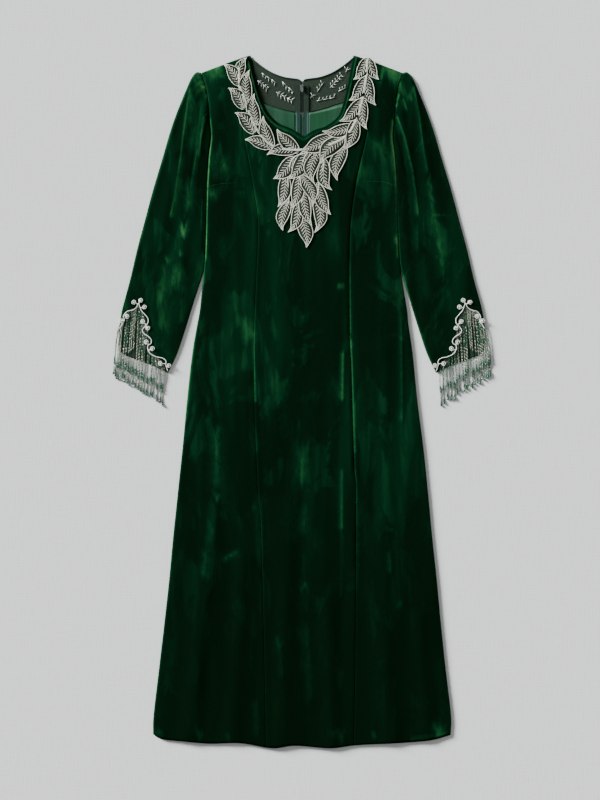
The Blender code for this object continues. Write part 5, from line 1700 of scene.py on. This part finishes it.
def make_fringe(side, word):
    """The bead strands of a cuff on their threads, and the strip that carries them."""
    random = np.random.default_rng(80 + side)
    lines = strand_lines(side)
    bugles, seeds, drops = [], [], []
    bare_x, bare_low, bare_high = zip(*BARE_STRETCH)
    for line in lines:
        total = lengths_along(line)[-1]
        slip = random.uniform(-GREEN_SLIP, GREEN_SLIP)
        own = random.choice(UPPER_TINTS)
        for along in np.arange(BUGLE_PITCH / 2, total - DROP[1] * 2, BUGLE_PITCH):
            share = along / total
            before, spot, after = at_fractions(line, [share - AIM, share, share + AIM])
            low, high = (np.interp(abs(spot[0]), bare_x, edge, 0, 0) for edge in (bare_low, bare_high))
            if low < spot[1] < high:
                continue
            green = any(low < total - along + slip < high for low, high in GREEN_RUNS)
            tint = random.choice(UPPER_TINTS if share < 0.5 else LOWER_TINTS)
            if share < 0.5 and random.random() < OWN_TINT:
                tint = own
            wide = GREEN_BUGLE if green else BUGLE[0]
            half_length = BUGLE[1] * random.uniform(BUGLE_SHORTEST, 1.0)
            bugles.append((spot, after - before, (wide, wide, half_length), GREEN_TINT if green else tint))
            joint = at_fractions(line, [(along + BUGLE_PITCH / 2) / total])[0]
            wide, high = GREEN_BEAD if green else SEED_BEAD
            joint[2] = max(joint[2], wide + OFF_FLOOR)
            seeds.append((joint, after - before, (wide, wide, high),
                          GREEN_TINT if green else random.choice(SEED_TINTS)))
        end = line[-1].copy()
        end[2] = DROP[0] + 2 * OFF_FLOOR
        drops.append((end, line[-1] - line[-3], (DROP[0], DROP[0], DROP[1]), random.uniform(0, 0.8)))
    long = beaded("fringe_bugles_" + word, bugles, long_beads, bugle, 20 + side, FRINGE_VARY)
    small = beaded("fringe_seeds_" + word, seeds, round_beads, bugle, 20 + side, FRINGE_VARY)
    large = beaded("fringe_drops_" + word, drops, round_beads, green_glass, 20 + side, FRINGE_VARY)
    notch = notch_points(side)
    inner = notch + side * np.column_stack([-np.gradient(notch[:, 1]), np.gradient(notch[:, 0])]) * 0.3
    strip = np.column_stack([inner[4:-4], np.full(len(inner) - 8, STRAND_Z)])
    threads = corded("fringe_threads_" + word, lines + [strip], [THREAD] * len(lines) + [STRIP_CORD],
                     dark_thread, 4)
    stand_for(long, "fringe_beads", "cuff_fringe_" + word)
    for piece in (small, large, threads):
        stand_for(piece, "fringe_beads")
    return [long, small, large, threads]


def make_sprigs():
    """Sprigs of bugle beads on the net: a thin stem, and side sticks that lean towards its tip."""
    random = np.random.default_rng(77)
    sticks = []

    def add(start, way, length, tint):
        middle = start + way * length / 2
        sticks.append(((*middle, SPRIG_Z), (*way, 0), (SPRIG_BEAD, SPRIG_BEAD, length * SPRIG_FILLS), tint))

    for x0, y0, x1, y1, count, hand in SPRIGS:
        root = np.array((x0, y0), float)
        run = np.array((x1, y1)) - root
        length = np.linalg.norm(run)
        way = run / length
        pieces = max(1, round(length / SPRIG_STEP))
        for k in range(pieces):
            add(root + run * k / pieces, way, length / pieces, random.uniform(0.3, 1))
        for k in range(count):
            foot = root + run * (k + 0.4) / count
            for side in (-1, 1) if hand == 0 else (hand,):
                angle = side * SPRIG_LEAN * random.uniform(0.85, 1.15)
                lean = np.array((way[0] * math.cos(angle) - way[1] * math.sin(angle),
                                 way[0] * math.sin(angle) + way[1] * math.cos(angle)))
                stick = SPRIG_STICK * random.uniform(0.6, 1.0)
                add(foot + lean * SPRIG_OFF_STEM, lean, stick, random.uniform(0.2, 1))
    return stand_for(beaded("yoke_sprigs", sticks, long_beads, sprig_glass, 2), "fringe_beads")


def make_neck_trims():
    """The bound back neck edge, and the stitches along the yoke seam."""
    edge = np.vstack([smooth_path(mirrored(BACK_NECK, -1)), smooth_path(BACK_NECK)[::-1]])
    gap = np.abs(edge[:, 0]) > ZIP_OPENING
    seam = smooth_path(YOKE_SEAM)
    line = by_step(seam[(seam[:, 0] > STITCH_FROM_X) & (seam[:, 0] < STITCH_TO_X)], TRIM_STEP)
    paths, lines = [], []
    for side in (-1, 1):
        half = by_step(edge[gap & (edge[:, 0] * side > 0)], TRIM_STEP)
        paths.append(np.column_stack([half, np.full(len(half), BINDING[1])]))
        above = mirrored(line, side) + (0, STITCH_ABOVE_SEAM)
        lines.append(np.column_stack([above, np.full(len(line), STITCH[1])]))
    binding = corded("neck_binding", paths, [BINDING[0]] * 2, dark_thread, 8)
    stand_for(binding, "green_velvet")
    stitches = grown(lines_object(lines), rows, {
        "Pitch": STITCH[3] * MM, "Half Length": STITCH[2] * MM, "Radius": STITCH[0] * MM,
        "Vary": 0.15, "Sides": 5, "Seed": 8, "Material": dark_thread}, "yoke_stitches")
    return [binding, stand_for(stitches, "grey_green_net")]


def make_teeth():
    """Two rows of small teeth that mesh along the closed zip."""
    teeth = []
    for k in range(int(ZIP_LENGTH / TOOTH_PITCH)):
        y = ZIP_TOP - ZIP_LENGTH + (k + 0.5) * TOOTH_PITCH
        teeth.append(((TOOTH_X if k % 2 else -TOOTH_X, y, TOOTH_Z), (0, 0, 1), TOOTH, 0.5))
    return stand_for(beaded("zip_teeth", teeth, long_beads, tape, 6), "teal_zip_tape", "zip_chain")


def make_stage():
    """The floor, a soft sun from the upper left and an even sky."""
    bpy.ops.mesh.primitive_plane_add(size=FLOOR_SIZE, location=(0, 0, FLOOR_Z))
    floor = bpy.context.object
    floor.name = "floor"
    floor.data.materials.append(make_floor_finish())

    sun = bpy.data.objects.new("soft_key", bpy.data.lights.new("soft_key", "SUN"))
    sun.data.energy = SUN
    sun.data.angle = SUN_ANGLE
    sun.rotation_euler = Vector(SUN_FROM).to_track_quat("Z", "Y").to_euler()
    bpy.context.scene.collection.objects.link(sun)
    world = bpy.data.worlds.new("studio")
    world.use_nodes = True
    sky = world.node_tree.nodes["Background"].inputs
    sky["Color"].default_value = SKY
    sky["Strength"].default_value = SKY_STRENGTH
    bpy.context.scene.world = world


def make_camera():
    """Straight down on the dress. The picture is 1.6 m high, at 2 mm a pixel."""
    camera = bpy.data.objects.new("camera", bpy.data.cameras.new("camera"))
    camera.data.sensor_width = CAMERA_SENSOR
    camera.data.lens = CAMERA_LENS
    camera.data.clip_end = FLOOR_SIZE
    camera.location = CAMERA_AT
    bpy.context.scene.collection.objects.link(camera)
    bpy.context.scene.camera = camera


def paint(material, *nodes):
    """Gives CAD nodes that stay a better finish."""
    for node in nodes:
        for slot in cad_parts[node].material_slots:
            slot.material = material


make_camera()
make_stage()

velvet = make_velvet()
net = make_net()
satin = make_satin("green_satin_lining", (2, 48, 27), (10, 66, 38))
sleeve_satin = make_satin("sleeve_lining", (2, 23, 11), (7, 38, 21))
tape = make_tape()
metal = make_metal()
cord = make_cord("silver_ivory_cord", (132, 138, 122), (204, 208, 188), (238, 240, 224))
white_cord = make_cord("white_cord", (204, 208, 196), (244, 246, 238), (252, 252, 248))
thread = make_thread()
bugle = make_beads()
green_glass = make_green_glass()
dark_thread = make_dark_thread()
leaf_net = make_leaf_net()
sprig_glass = make_sprig_glass()

cords = cord_tree()
rows = row_tree()
round_beads = bead_tree(True)
long_beads = bead_tree(False)

fronts = make_fronts()
backs = make_backs()
yokes = make_yokes()
linings = make_linings()
facing = make_neck_facing()
sleeves = {word: make_sleeve(side, word, marks)
           for (side, word), marks in zip(SIDES, (LEFT_SLEEVE_NAP_AND_LIGHT, RIGHT_SLEEVE_NAP_AND_LIGHT))}
front_faces = surface_of(*(panel for panel, *sizes in fronts.values()))
darts = make_darts(front_faces)
applique = make_applique(front_faces)
scrolls = {word: make_scroll(side, word) for side, word in SIDES}
fringes = {word: make_fringe(side, word) for side, word in SIDES}
sprigs = make_sprigs()
neck_trims = make_neck_trims()
teeth = make_teeth()
paint(tape, "zip_tape_left", "zip_tape_right")
paint(metal, "zip_slider", "zip_pull")

for node, (panel, area, width, length) in fronts.items():
    going = applique + [facing, darts] if node == "front_centre" else []
for word, (panel, area, width, length) in yokes.items():
    going = [sprigs] + neck_trims if word == "left" else []
for word, (panel, area, width, length) in linings.items():
    "velvet_back_" + word
for word, (panel, area, width, length) in sleeves.items():
    scrolls[word] + fringes[word]
